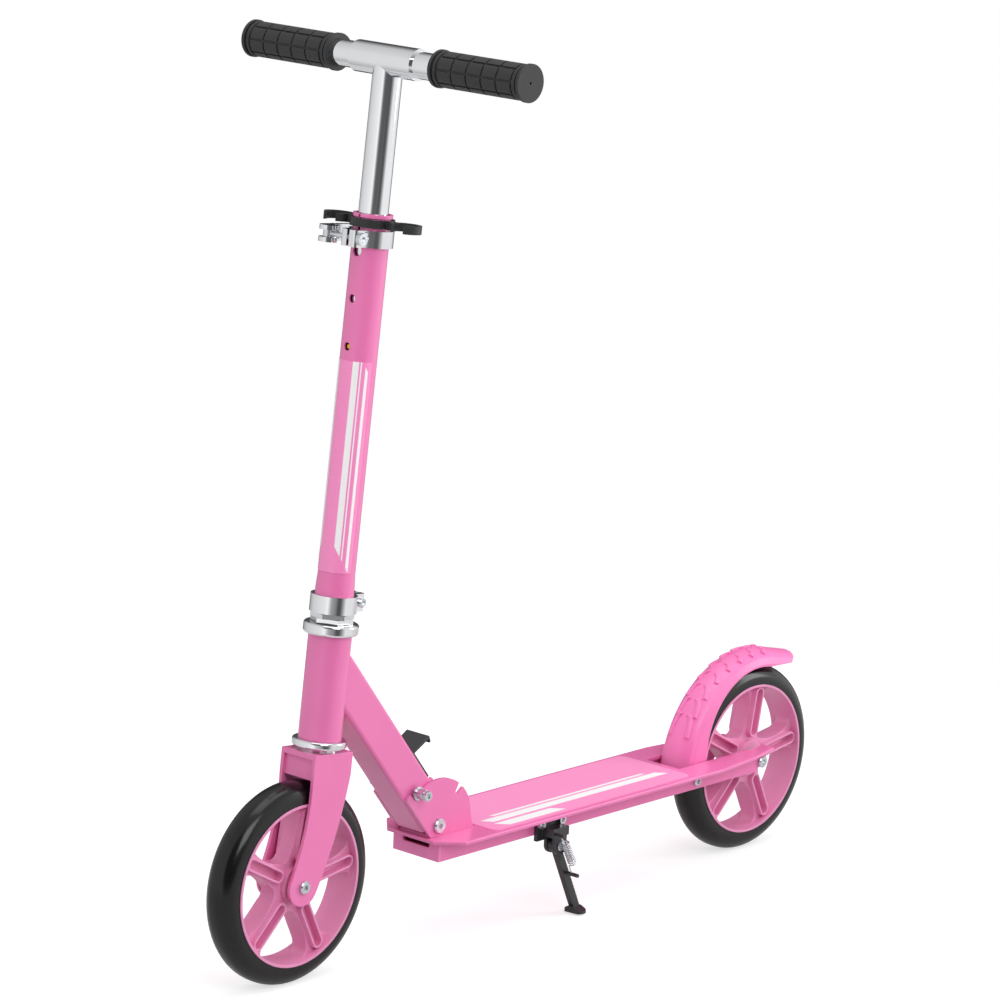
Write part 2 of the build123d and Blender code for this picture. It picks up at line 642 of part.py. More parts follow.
with BuildPart() as upper_cup:
    with BuildSketch(column_side) as profile:
        with BuildLine():
            Polyline(
                (CUP_DIAMETER / 2, HEAD_TUBE_TOP),
                (CUP_DIAMETER / 2, upper_cup_top),
                (cup_seat, upper_cup_top),
                (cup_seat, upper_cup_top - HEAD_BEARING_HEIGHT),
                (spigot_bore, upper_cup_top - HEAD_BEARING_HEIGHT),
                (spigot_bore, HEAD_TUBE_TOP - CUP_SPIGOT_LENGTH),
                (spigot_radius, HEAD_TUBE_TOP - CUP_SPIGOT_LENGTH),
                (spigot_radius, HEAD_TUBE_TOP),
                close=True,
            )
        make_face()
        fillet(profile.vertices().group_by(Axis.X)[-1], CUP_EDGE)
    revolve(axis=column_axis)
write(upper_cup, "headset_upper_cup")

with BuildPart() as headset_bearings:
    with BuildSketch(column.offset(lower_cup_bottom), column.offset(upper_cup_top - HEAD_BEARING_HEIGHT)):
        Circle(HEAD_BEARING_DIAMETER / 2)
        Circle(steerer_radius + RUNNING_CLEARANCE, mode=Mode.SUBTRACT)
    extrude(amount=HEAD_BEARING_HEIGHT - SEAT_CLEARANCE)
write(headset_bearings, "headset_bearings")

nut_start = upper_cup_top + SIDE_PLAY
for nut_name, nut_base, nut_turn in (
    ("headset_adjusting_nut", nut_start, 0),
    ("headset_lock_nut", nut_start + HEAD_NUT_HEIGHT + SEAT_CLEARANCE, 17),
):
    with BuildPart() as head_nut:
        with BuildSketch(column.offset(nut_base)):
            RegularPolygon(HEAD_NUT_ACROSS / 2, 6, major_radius=False, rotation=nut_turn)
            Circle(steerer_seat, mode=Mode.SUBTRACT)
        extrude(amount=HEAD_NUT_HEIGHT)
    write(head_nut, nut_name)

# Front frame: head tube, square down tube and the sleeve of the fold pivot
tube_depth = DOWN_TUBE_FRONT + DOWN_TUBE_REAR
tube_middle = (DOWN_TUBE_REAR - DOWN_TUBE_FRONT) / 2
tube_half = DOWN_TUBE_WIDTH / 2
seat_reach = LOCK_REACH + RELEASE_FOOT_HALF + LOCK_SPRING_PITCH * LOCK_SPRING_TURNS + LOCK_SPRING_WIRE
tube_seat = seat_reach + SPRING_SEAT_DIAMETER / 2 + SEAT_CLEARANCE * 5
tube_start = Plane(origin=pivot, x_dir=tube_back, z_dir=tube_up)
tube_run = (column_foot - pivot).dot(column_back) / tube_up.dot(column_back)

with BuildPart() as front_frame:
    with BuildSketch(tube_start):
        with Locations((tube_middle, 0)):
            RectangleRounded(tube_depth, DOWN_TUBE_WIDTH, DOWN_TUBE_CORNER)
            RectangleRounded(
                tube_depth - 2 * DOWN_TUBE_WALL,
                DOWN_TUBE_WIDTH - 2 * DOWN_TUBE_WALL,
                DOWN_TUBE_CORNER - DOWN_TUBE_WALL,
                mode=Mode.SUBTRACT,
            )
    extrude(amount=tube_run + tube_depth)
    split(bisect_by=Plane(origin=column_foot, x_dir=(0, 1, 0), z_dir=column_back), keep=Keep.TOP)
    with BuildSketch(tube_side):
        with BuildLine():
            Polyline(
                (-tube_depth, TUBE_FRONT_START - tube_depth),
                (-tube_depth, TUBE_FRONT_START),
                (-DOWN_TUBE_FRONT, TUBE_FRONT_START),
                (DOWN_TUBE_REAR, TUBE_REAR_START),
                (tube_depth, TUBE_REAR_START),
                (tube_depth, TUBE_FRONT_START - tube_depth),
                close=True,
            )
        make_face()
    extrude(amount=DOWN_TUBE_WIDTH, both=True, mode=Mode.SUBTRACT)
    with BuildSketch(tube_side.offset(-tube_half), tube_side.offset(tube_half - DOWN_TUBE_WALL)):
        Circle(TUBE_END_RADIUS)
        with Locations((0, 0)):
            Rectangle(2 * TUBE_END_RADIUS, TUBE_REAR_START + DOWN_TUBE_WALL, align=(Align.CENTER, Align.MIN))
    extrude(amount=DOWN_TUBE_WALL)
    with BuildSketch(tube_side):
        Circle(PIVOT_SLEEVE_DIAMETER / 2)
    extrude(amount=tube_half, both=True)
    with BuildSketch(tube_side):
        Circle(FOLD_BOLT_DIAMETER / 2 + RUNNING_CLEARANCE)
    extrude(amount=DOWN_TUBE_WIDTH, both=True, mode=Mode.SUBTRACT)
    with BuildSketch(tube_side):
        with Locations((0, LOCK_REACH - LOCK_TRAVEL / 2)):
            SlotCenterToCenter(LOCK_TRAVEL, LOCK_PIN_DIAMETER + 2 * SIDE_PLAY, rotation=90)
    extrude(amount=DOWN_TUBE_WIDTH, both=True, mode=Mode.SUBTRACT)
    with BuildSketch(Plane(origin=pivot + tube_back * DOWN_TUBE_REAR, x_dir=(0, 1, 0), z_dir=tube_back)):
        with Locations((0, LOCK_REACH - LOCK_TRAVEL / 2)):
            Rectangle(
                2 * (RELEASE_FOOT_HALF + SIDE_PLAY),
                LOCK_TRAVEL + 2 * (RELEASE_FOOT_HALF + SIDE_PLAY),
            )
    extrude(amount=-2 * DOWN_TUBE_WALL, mode=Mode.SUBTRACT)
    with BuildSketch(tube_side):
        with Locations((0, tube_seat)):
            Circle(SPRING_SEAT_DIAMETER / 2)
    extrude(amount=tube_half, both=True)
    with BuildSketch(column.offset(HEAD_TUBE_BOTTOM)):
        Circle(HEAD_TUBE_DIAMETER / 2)
    extrude(amount=HEAD_TUBE_TOP - HEAD_TUBE_BOTTOM)
    with BuildSketch(column.offset(HEAD_TUBE_BOTTOM)):
        Circle(HEAD_TUBE_DIAMETER / 2 - HEAD_TUBE_WALL)
    extrude(amount=HEAD_TUBE_TOP - HEAD_TUBE_BOTTOM, mode=Mode.SUBTRACT)
write(front_frame, "front_frame")

# Fold lock: cross pin with bushes, pressed release lever and its spring
pin_end = bracket_outer_half + SIDE_PLAY + WASHER_THICKNESS + BUSH_LENGTH
with BuildPart() as lock_pin:
    with BuildSketch(tube_side):
        with Locations((0, LOCK_REACH)):
            Circle(LOCK_PIN_DIAMETER / 2)
    extrude(amount=pin_end, both=True)
    with BuildSketch(tube_side.offset(bracket_outer_half + SIDE_PLAY)):
        with Locations((0, LOCK_REACH)):
            Circle(WASHER_DIAMETER / 2)
    extrude(amount=WASHER_THICKNESS)
    with BuildSketch(tube_side.offset(bracket_outer_half + SIDE_PLAY + WASHER_THICKNESS)):
        with Locations((0, LOCK_REACH)):
            Circle(BUSH_DIAMETER / 2)
    extrude(amount=BUSH_LENGTH)
    with BuildSketch(tube_side.offset(pin_end)):
        with Locations((0, LOCK_REACH)):
            Circle(PIN_HEAD_DIAMETER / 2)
            RegularPolygon(SOCKET_ACROSS / 2, 6, major_radius=False, mode=Mode.SUBTRACT)
    extrude(amount=PIN_HEAD_HEIGHT)
    mirror(about=Plane.XZ)
write(lock_pin, "lock_pin")

strip_inner = DOWN_TUBE_REAR + RELEASE_GAP
strip_outer = strip_inner + RELEASE_THICKNESS
foot_low = LOCK_REACH - RELEASE_FOOT_HALF
with BuildPart() as release_lever:
    with BuildSketch(tube_side) as profile:
        with BuildLine():
            Polyline(
                (strip_inner, foot_low),
                (strip_outer, foot_low),
                (strip_outer, RELEASE_TOP - RELEASE_THICKNESS),
                (RELEASE_TAB_REACH - RELEASE_THICKNESS, RELEASE_TOP - RELEASE_THICKNESS - RELEASE_TAB_DROP),
                (RELEASE_TAB_REACH - 2 * RELEASE_THICKNESS, RELEASE_TOP - RELEASE_TAB_DROP - RELEASE_LIP),
                (RELEASE_TAB_REACH - RELEASE_THICKNESS, RELEASE_TOP - RELEASE_TAB_DROP - RELEASE_LIP),
                (RELEASE_TAB_REACH, RELEASE_TOP - RELEASE_TAB_DROP),
                (strip_inner, RELEASE_TOP),
                close=True,
            )
        make_face()
    extrude(amount=RELEASE_HALF_WIDTH, both=True)
    with BuildSketch(tube_side):
        with Locations((-RELEASE_FOOT_DEPTH, foot_low)):
            Rectangle(
                RELEASE_FOOT_DEPTH + strip_outer, 2 * RELEASE_FOOT_HALF, align=(Align.MIN, Align.MIN)
            )
    extrude(amount=RELEASE_FOOT_HALF, both=True)
    with BuildSketch(tube_side):
        with Locations((0, LOCK_REACH)):
            Circle(LOCK_PIN_DIAMETER / 2 + SEAT_CLEARANCE)
    extrude(amount=RELEASE_HALF_WIDTH, both=True, mode=Mode.SUBTRACT)
write(release_lever, "release_lever")

lock_spring_frame = Plane(
    origin=pivot + tube_up * (LOCK_REACH + RELEASE_FOOT_HALF + LOCK_SPRING_WIRE / 2 + SEAT_CLEARANCE),
    x_dir=tube_back,
    z_dir=tube_up,
)
lock_points = coil_points(lock_spring_frame, LOCK_SPRING_RADIUS, LOCK_SPRING_PITCH, LOCK_SPRING_TURNS)
with BuildPart() as lock_spring:
    with BuildLine() as lock_path:
        coil_arcs(lock_points)
    with BuildSketch(Plane(origin=lock_points[0][0], z_dir=lock_points[0][1])):
        Circle(LOCK_SPRING_WIRE / 2)
    sweep(path=lock_path.wire())
write(lock_spring, "lock_spring")
print("lock spring gap", least_gap(lock_path.wire(), LOCK_SPRING_WIRE, 2 * math.pi * LOCK_SPRING_RADIUS))

# Stem tube and what is clamped on it
slit_hole_height = BUTTON_HEIGHT + 2 * HEIGHT_HOLE_PITCH
front_face = Plane(origin=column_foot, x_dir=(0, -1, 0), z_dir=-column_back)
with BuildPart() as stem_tube:
    foot_radius = STEM_FOOT_DIAMETER / 2
    lip_radius = STEM_LIP_DIAMETER / 2
    foot_top = STEM_BOTTOM + STEM_FOOT_LENGTH
    lip_bottom = STEM_TOP - STEM_LIP_HEIGHT
    with BuildSketch(column_side):
        with BuildLine():
            Polyline(
                (stem_bore, STEM_BOTTOM),
                (foot_radius, STEM_BOTTOM),
                (foot_radius, foot_top),
                (stem_radius, foot_top + STEM_FOOT_TAPER),
                (stem_radius, lip_bottom),
                (lip_radius, lip_bottom),
                (lip_radius, STEM_TOP),
                (stem_bore, STEM_TOP),
                close=True,
            )
        make_face()
    revolve(axis=column_axis)
    with BuildSketch(front_face):
        with Locations((0, BUTTON_HEIGHT), (0, BUTTON_HEIGHT + HEIGHT_HOLE_PITCH)):
            Circle(HEIGHT_HOLE_DIAMETER / 2)
        with Locations((0, slit_hole_height)):
            Circle(SLIT_HOLE_DIAMETER / 2)
            Rectangle(SLIT_WIDTH, STEM_TOP - slit_hole_height + 1, align=(Align.CENTER, Align.MIN))
    extrude(amount=STEM_DIAMETER, mode=Mode.SUBTRACT)
write(stem_tube, "stem_tube")

with BuildPart() as stem_shim:
    with BuildSketch(column.offset(STEM_BOTTOM)):
        Circle(stem_bore - SEAT_CLEARANCE)
        Circle(steerer_seat, mode=Mode.SUBTRACT)
    extrude(amount=STEERER_TOP - STEM_BOTTOM)
write(stem_shim, "stem_shim")

with BuildPart() as stem_sheet:
    with BuildSketch(column.offset(SHEET_BOTTOM)):
        Circle(stem_radius + SHEET_CLEARANCE + SHEET_THICKNESS)
        Circle(stem_radius + SHEET_CLEARANCE, mode=Mode.SUBTRACT)
        Rectangle(STEM_DIAMETER * 2, STEM_DIAMETER * 2, align=(Align.MIN, Align.CENTER), mode=Mode.SUBTRACT)
    extrude(amount=BUTTON_HEIGHT - SHEET_BUTTON_GAP - SHEET_BOTTOM)
write(stem_sheet, "stem_sheet")

with BuildPart() as stem_bush:
    with BuildSketch(column.offset(BUSH_BOTTOM)):
        Circle(stem_bore - SEAT_CLEARANCE)
        Circle(inner_radius + RUNNING_CLEARANCE, mode=Mode.SUBTRACT)
    extrude(amount=STEM_TOP - BUSH_BOTTOM)
write(stem_bush, "stem_bush")


def make_clamp(base, height, bore_radius, wall, ear_end, ear_half, bolt_reach, way):
    """Split collar whose ears point backward (way 1) or forward (way -1)."""
    outer = bore_radius + wall
    ear_align = Align.MIN if way > 0 else Align.MAX
    with BuildPart() as collar:
        with BuildSketch(column.offset(base)):
            Circle(outer)
            Rectangle(ear_end, 2 * ear_half, align=(ear_align, Align.CENTER))
            Circle(bore_radius, mode=Mode.SUBTRACT)
            Rectangle(ear_end + 1, CLAMP_GAP, align=(ear_align, Align.CENTER), mode=Mode.SUBTRACT)
        extrude(amount=height)
        outer_edges = collar.edges().filter_by(column_axis).group_by(Axis(column_foot, column_back * way))[-1]
        fillet(outer_edges.sort_by(Axis.Y)[0], CLAMP_WALL)
        outer_edges = collar.edges().filter_by(column_axis).group_by(Axis(column_foot, column_back * way))[-1]
        fillet(outer_edges.sort_by(Axis.Y)[-1], CLAMP_WALL)
        with BuildSketch(column_side):
            with Locations((way * bolt_reach, base + height / 2)):
                Circle(CLAMP_BOLT_DIAMETER / 2 + SEAT_CLEARANCE)
        extrude(amount=ear_half * 2, both=True, mode=Mode.SUBTRACT)
    return collar


lower_clamp = make_clamp(
    LOWER_CLAMP_BOTTOM, LOWER_CLAMP_HEIGHT, STEM_FOOT_DIAMETER / 2 + CLAMP_BORE_PLAY, CLAMP_WALL,
    LOWER_CLAMP_EAR_END, LOWER_CLAMP_EAR_HALF, LOWER_CLAMP_BOLT_REACH, 1,
)
write(lower_clamp, "lower_clamp")

lower_bolt_plane = Plane(
    origin=column_foot + column_back * LOWER_CLAMP_BOLT_REACH
    + column_up * (LOWER_CLAMP_BOTTOM + LOWER_CLAMP_HEIGHT / 2),
    x_dir=column_back,
    z_dir=(0, -1, 0),
)
lower_clamp_bolt = bolt_with_nut(
    lower_bolt_plane, LOWER_CLAMP_EAR_HALF, LOWER_CLAMP_EAR_HALF, CLAMP_BOLT_DIAMETER,
    CLAMP_BOLT_HEAD_DIAMETER, CLAMP_BOLT_HEAD_HEIGHT, CLAMP_BOLT_HEAD_DIAMETER, CLAMP_BOLT_HEAD_HEIGHT,
)
write(lower_clamp_bolt, "lower_clamp_bolt")

height_clamp = make_clamp(
    HEIGHT_CLAMP_BOTTOM, HEIGHT_CLAMP_HEIGHT, stem_radius + CLAMP_BORE_PLAY, CLAMP_WALL,
    HEIGHT_CLAMP_EAR_END, HEIGHT_CLAMP_EAR_HALF, HEIGHT_CLAMP_BOLT_REACH, -1,
)
write(height_clamp, "height_clamp")

clamp_middle = HEIGHT_CLAMP_BOTTOM + HEIGHT_CLAMP_HEIGHT / 2
pin_spot = column_foot - column_back * HEIGHT_CLAMP_BOLT_REACH + Vector(0, LEVER_PIN_REACH, 0)
bolt_side = Plane(
    origin=column_foot - column_back * HEIGHT_CLAMP_BOLT_REACH + column_up * clamp_middle,
    x_dir=column_back,
    z_dir=(0, -1, 0),
)
with BuildPart() as height_clamp_bolt:
    with BuildSketch(bolt_side.offset(HEIGHT_CLAMP_EAR_HALF)):
        Circle(CLAMP_BOLT_DIAMETER / 2)
    extrude(amount=-HEIGHT_CLAMP_EAR_HALF - LEVER_PIN_REACH)
    with BuildSketch(bolt_side.offset(HEIGHT_CLAMP_EAR_HALF)):
        Circle(ROUND_NUT_DIAMETER / 2)
    extrude(amount=ROUND_NUT_HEIGHT)
    with BuildSketch(bolt_side.offset(HEIGHT_CLAMP_EAR_HALF + ROUND_NUT_HEIGHT)):
        RegularPolygon(SOCKET_ACROSS / 2, 6, major_radius=False)
    extrude(amount=-SOCKET_DEPTH, mode=Mode.SUBTRACT)
    eye_half = LEVER_FORK_GAP / 2 - SIDE_PLAY
    eye_spot = pin_spot + column_up * (clamp_middle - eye_half)
    eye_plane = Plane(origin=eye_spot, x_dir=column_back, z_dir=column_up)
    with BuildSketch(eye_plane):
        Circle(LEVER_EYE_DIAMETER / 2)
    extrude(amount=2 * eye_half)
    with BuildSketch(eye_plane):
        Circle(LEVER_PIN_DIAMETER / 2 + RUNNING_CLEARANCE)
    extrude(amount=2 * eye_half, mode=Mode.SUBTRACT)
write(height_clamp_bolt, "height_clamp_bolt")

lever_plane = Plane(origin=pin_spot + column_up * HEIGHT_CLAMP_BOTTOM, x_dir=column_back, z_dir=column_up)
fork_half = LEVER_FORK_GAP / 2
lobe_radius = LEVER_LOBE_DIAMETER / 2
with BuildPart() as clamp_lever:
    with BuildSketch(lever_plane):
        Circle(lobe_radius)
        with Locations((0, lobe_radius)):
            Rectangle(LEVER_ARM_LENGTH, LEVER_ARM_THICKNESS, align=(Align.MIN, Align.MAX))
    extrude(amount=HEIGHT_CLAMP_HEIGHT)
    with BuildSketch(lever_plane.offset(HEIGHT_CLAMP_HEIGHT / 2 - fork_half)):
        Circle(lobe_radius + LEVER_RIB_DEPTH)
    extrude(amount=LEVER_FORK_GAP, mode=Mode.SUBTRACT)
    with BuildSketch(lever_plane):
        Circle(LEVER_PIN_DIAMETER / 2 + SEAT_CLEARANCE)
    extrude(amount=HEIGHT_CLAMP_HEIGHT, mode=Mode.SUBTRACT)
    with BuildSketch(lever_plane):
        with Locations(*[(lobe_radius + LEVER_ARM_THICKNESS * k, lobe_radius) for k in (1, 2, 3, 4)]):
            Rectangle(LEVER_ARM_THICKNESS / 2, LEVER_RIB_DEPTH * 2)
    extrude(amount=HEIGHT_CLAMP_HEIGHT)
write(clamp_lever, "clamp_lever")

with BuildPart() as lever_pin:
    with BuildSketch(lever_plane):
        Circle(LEVER_PIN_DIAMETER / 2)
    extrude(amount=HEIGHT_CLAMP_HEIGHT)
write(lever_pin, "lever_pin")

with BuildPart() as grip_clip:
    jaw_radius = CLIP_JAW_BORE / 2 + CLIP_JAW_WALL
    with BuildSketch(column.offset(CLIP_BOTTOM)):
        Circle(stem_radius + CLAMP_BORE_PLAY + CLIP_WALL)
        Rectangle(CLIP_ARM_WIDTH, 2 * CLIP_JAW_REACH)
        with Locations((0, CLIP_JAW_REACH), (0, -CLIP_JAW_REACH)):
            Circle(jaw_radius)
            Circle(CLIP_JAW_BORE / 2, mode=Mode.SUBTRACT)
        with Locations((-jaw_radius, CLIP_JAW_REACH), (-jaw_radius, -CLIP_JAW_REACH)):
            Rectangle(CLIP_JAW_BORE, CLIP_JAW_MOUTH, mode=Mode.SUBTRACT)
        Circle(stem_radius + CLAMP_BORE_PLAY, mode=Mode.SUBTRACT)
    extrude(amount=CLIP_HEIGHT)
write(grip_clip, "grip_clip")

# Handlebar: chrome inner tube with its T sleeve, and the two pull-out bars
bar_centre = column_foot + column_up * BAR_HEIGHT
bar_side = Plane(origin=bar_centre, x_dir=column_back, z_dir=(0, -1, 0))
bar_rear = Plane(origin=bar_centre, x_dir=(0, 1, 0), z_dir=column_back)
button_plane = Plane(origin=column_foot + column_up * BUTTON_HEIGHT, x_dir=(0, -1, 0), z_dir=-column_back)
with BuildPart() as t_bar:
    with BuildSketch(column.offset(inner_tube_bottom)):
        Circle(inner_radius)
        Circle(inner_radius - INNER_TUBE_WALL, mode=Mode.SUBTRACT)
    extrude(amount=BAR_HEIGHT - inner_tube_bottom)
    with BuildSketch(bar_side):
        Circle(sleeve_radius)
    extrude(amount=SLEEVE_HALF_LENGTH, both=True)
    with BuildSketch(bar_side):
        Circle(sleeve_bore)
    extrude(amount=SLEEVE_HALF_LENGTH, both=True, mode=Mode.SUBTRACT)
    with BuildSketch(button_plane):
        Circle(BUTTON_DIAMETER / 2 + RUNNING_CLEARANCE)
    extrude(amount=inner_radius + 1, mode=Mode.SUBTRACT)
    with BuildSketch(bar_rear):
        with Locations((BAR_BUTTON_POSITION, 0), (-BAR_BUTTON_POSITION, 0)):
            Circle(BAR_BUTTON_DIAMETER / 2 + SIDE_PLAY)
    extrude(amount=sleeve_radius + 1, mode=Mode.SUBTRACT)
write(t_bar, "t_bar")

with BuildPart() as t_bar_guide:
    with BuildSketch(column.offset(inner_tube_bottom)):
        Circle(stem_bore - RUNNING_CLEARANCE)
        Circle(inner_radius + SEAT_CLEARANCE, mode=Mode.SUBTRACT)
    extrude(amount=GUIDE_HEIGHT)
write(t_bar_guide, "t_bar_guide")

with BuildPart() as height_button:
    with BuildSketch(button_plane.offset(LEAF_REACH)):
        Circle(BUTTON_DIAMETER / 2)
    extrude(amount=BUTTON_REST_REACH - LEAF_REACH)
    button_edges = height_button.edges().filter_by(GeomType.CIRCLE)
    fillet(button_edges.sort_by(Axis(column_foot, -column_back))[-1], BUTTON_DIAMETER * BUTTON_DOME_SHARE)
    with BuildSketch(button_plane.offset(LEAF_REACH)):
        with Locations((0, BUTTON_DIAMETER)):
            Rectangle(LEAF_WIDTH, LEAF_LENGTH, align=(Align.CENTER, Align.MAX))
    extrude(amount=-LEAF_THICKNESS)
write(height_button, "height_button")


def make_bar(prefix, way):
    """One handlebar half: way -1 is the rider's left, 1 the right."""
    outward = Plane(origin=bar_centre, x_dir=column_back, z_dir=(0, way, 0))
    button_face = Plane(
        origin=bar_centre + Vector(0, way * BAR_BUTTON_POSITION, 0), x_dir=(0, way, 0), z_dir=column_back
    )
    with BuildPart() as bar_tube:
        with BuildSketch(outward.offset(BAR_INNER_END)):
            Circle(bar_radius)
            Circle(bar_radius - BAR_WALL, mode=Mode.SUBTRACT)
        extrude(amount=BAR_OUTER_END - BAR_INNER_END)
        with BuildSketch(button_face):
            Circle(BAR_BUTTON_DIAMETER / 2 + RUNNING_CLEARANCE)
        extrude(amount=sleeve_radius, mode=Mode.SUBTRACT)
    write(bar_tube, prefix + "_bar_tube")

    flange = GRIP_FLANGE_DIAMETER / 2
    body = GRIP_DIAMETER / 2
    core = GRIP_CORE_DIAMETER / 2
    step = GRIP_RING_WIDTH + GRIP_RING_GAP
    block_start = GRIP_INNER_END + 2 * step
    block_end = GRIP_OUTER_END - 2 * step
    block_pitch = (block_end - block_start + GRIP_BLOCK_GAP) / GRIP_BLOCK_COUNT
    bands = [(GRIP_INNER_END, GRIP_RING_WIDTH, flange), (GRIP_INNER_END + step, GRIP_RING_WIDTH, body)]
    bands += [
        (block_start + k * block_pitch, block_pitch - GRIP_BLOCK_GAP, body) for k in range(GRIP_BLOCK_COUNT)
    ]
    bands += [
        (GRIP_OUTER_END - GRIP_RING_WIDTH - step, GRIP_RING_WIDTH, body),
        (GRIP_OUTER_END - GRIP_RING_WIDTH, GRIP_RING_WIDTH, flange),
    ]
    with BuildPart() as grip:
        with BuildSketch(outward.offset(GRIP_INNER_END)):
            Circle(core)
        extrude(amount=GRIP_OUTER_END - GRIP_INNER_END)
        for start, length, radius in bands:
            with BuildSketch(outward.offset(start)):
                Circle(radius)
            extrude(amount=length)
        with BuildSketch(outward.offset(block_start)):
            with PolarLocations(body, GRIP_ROW_COUNT):
                Rectangle(2 * (body - core), GRIP_ROW_GAP)
        extrude(amount=block_end - block_start, mode=Mode.SUBTRACT)
        with BuildSketch(outward.offset(GRIP_INNER_END)):
            Circle(bar_radius + SEAT_CLEARANCE)
        extrude(amount=BAR_OUTER_END - GRIP_INNER_END + SEAT_CLEARANCE, mode=Mode.SUBTRACT)
        with BuildSketch(outward.offset(GRIP_INNER_END)):
            Circle(GRIP_END_HOLE / 2)
        extrude(amount=GRIP_OUTER_END - GRIP_INNER_END, mode=Mode.SUBTRACT)
    write(grip, prefix + "_grip")

    with BuildPart() as bar_button:
        with BuildSketch(button_face.offset(BAR_LEAF_REACH)):
            Circle(BAR_BUTTON_DIAMETER / 2)
        extrude(amount=BAR_BUTTON_REST_REACH - BAR_LEAF_REACH)
        bar_dome = BAR_BUTTON_DIAMETER * BUTTON_DOME_SHARE
        dome_edges = bar_button.edges().filter_by(GeomType.CIRCLE)
        fillet(dome_edges.sort_by(Axis(column_foot, column_back))[-1], bar_dome)
        with BuildSketch(button_face.offset(BAR_LEAF_REACH)):
            with Locations((-BAR_BUTTON_DIAMETER, 0)):
                Rectangle(BAR_LEAF_LENGTH, BAR_LEAF_WIDTH, align=(Align.MIN, Align.CENTER))
        extrude(amount=-LEAF_THICKNESS)
    write(bar_button, prefix + "_bar_button")


make_bar("left", -1)
make_bar("right", 1)

# Deck: top plate with folded box below and two arms that carry the rear wheel
screw_spots = [
    (PIVOT_X + reach, half)
    for reach in (BRACKET_SCREW_FRONT, BRACKET_SCREW_REAR)
    for half in (-BRACKET_SCREW_HALF, BRACKET_SCREW_HALF)
]
with BuildPart() as deck:
    with BuildSketch(Plane.XY.offset(deck_floor)):
        with BuildLine():
            Polyline(
                (LIP_FRONT, -LIP_HALF_WIDTH),
                (DECK_FULL_WIDTH_FROM, -DECK_HALF_WIDTH),
                (taper_from, -DECK_HALF_WIDTH),
                (taper_mid, -TAPER_MID_HALF_WIDTH),
                (arm_end, -ARM_END_HALF_WIDTH),
                (arm_end, ARM_END_HALF_WIDTH),
                (taper_mid, TAPER_MID_HALF_WIDTH),
                (taper_from, DECK_HALF_WIDTH),
                (DECK_FULL_WIDTH_FROM, DECK_HALF_WIDTH),
                (LIP_FRONT, LIP_HALF_WIDTH),
                close=True,
            )
        make_face()
    extrude(amount=DECK_PLATE)
    fillet(deck.faces().sort_by(Axis.Z)[-1].edges(), DECK_EDGE)
    with BuildSketch(Plane.XY.offset(DECK_BOTTOM)):
        with Locations((BOX_FRONT, 0)):
            Rectangle(arm_end - BOX_FRONT, 2 * BOX_HALF_WIDTH, align=(Align.MIN, Align.CENTER))
    extrude(amount=deck_floor - DECK_BOTTOM)
    with BuildSketch(Plane.XY.offset(DECK_BOTTOM + BOX_WALL)):
        with Locations((BOX_FRONT, 0)):
            Rectangle(arm_end - BOX_FRONT, 2 * web_inner, align=(Align.MIN, Align.CENTER))
    extrude(amount=deck_floor - DECK_BOTTOM - BOX_WALL, mode=Mode.SUBTRACT)
    with BuildSketch(Plane.XY.offset(DECK_BOTTOM)):
        with Locations((floor_end, 0)):
            Rectangle(arm_end, 2 * web_inner, align=(Align.MIN, Align.CENTER))
    extrude(amount=BOX_WALL, mode=Mode.SUBTRACT)
    with BuildSketch(Plane.XY.offset(DECK_BOTTOM)):
        with Locations((cutout_front, 0)):
            Rectangle(arm_end, 2 * CUTOUT_HALF_WIDTH, align=(Align.MIN, Align.CENTER))
    extrude(amount=DECK_TOP, mode=Mode.SUBTRACT)
    with BuildSketch(Plane.XZ):
        with BuildLine():
            Polyline(
                (arm_end - ARM_SLANT_LENGTH, DECK_BOTTOM),
                (arm_end, deck_floor),
                (arm_end + CUT_PAST, deck_floor),
                (arm_end + CUT_PAST, DECK_BOTTOM),
                close=True,
            )
        make_face()
    extrude(amount=DECK_HALF_WIDTH, both=True, mode=Mode.SUBTRACT)
    with BuildSketch(Plane.XZ):
        with Locations((rear_centre.X, rear_centre.Z)):
            Circle(axle_radius + SEAT_CLEARANCE)
        with Locations((brake_pivot_x, BRAKE_PIVOT_Z)):
            Circle(BRAKE_BOLT_DIAMETER / 2 + SEAT_CLEARANCE)
    extrude(amount=DECK_HALF_WIDTH, both=True, mode=Mode.SUBTRACT)
    with BuildSketch(side_plane(-BOX_HALF_WIDTH)):
        with Locations(
            (STAND_PIVOT_X - STAND_SCREW_HALF, STAND_SCREW_Z),
            (STAND_PIVOT_X + STAND_SCREW_HALF, STAND_SCREW_Z),
        ):
            Circle(STAND_SCREW_DIAMETER / 2 + SEAT_CLEARANCE)
    extrude(amount=-BOX_WALL, mode=Mode.SUBTRACT)
    with BuildSketch(Plane.XY.offset(deck_floor)):
        with Locations(*screw_spots):
            Circle(BRACKET_SCREW_DIAMETER / 2 + SEAT_CLEARANCE)
    extrude(amount=DECK_PLATE, mode=Mode.SUBTRACT)
write(deck, "deck")

with BuildPart() as deck_cap:
    cap_spot = (BOX_FRONT, 0, (DECK_BOTTOM + deck_floor) / 2)
    with BuildSketch(Plane(origin=cap_spot, x_dir=(0, -1, 0), z_dir=(-1, 0, 0))):
        Rectangle(2 * BOX_HALF_WIDTH, deck_floor - DECK_BOTTOM)
        with Locations((0, (deck_floor - DECK_BOTTOM) / 2 + DECK_PLATE - CAP_SLOT_DROP)):
            SlotOverall(CAP_SLOT_LENGTH, CAP_SLOT_HEIGHT, mode=Mode.SUBTRACT)
    extrude(amount=CAP_THICKNESS)
write(deck_cap, "deck_front_cap")

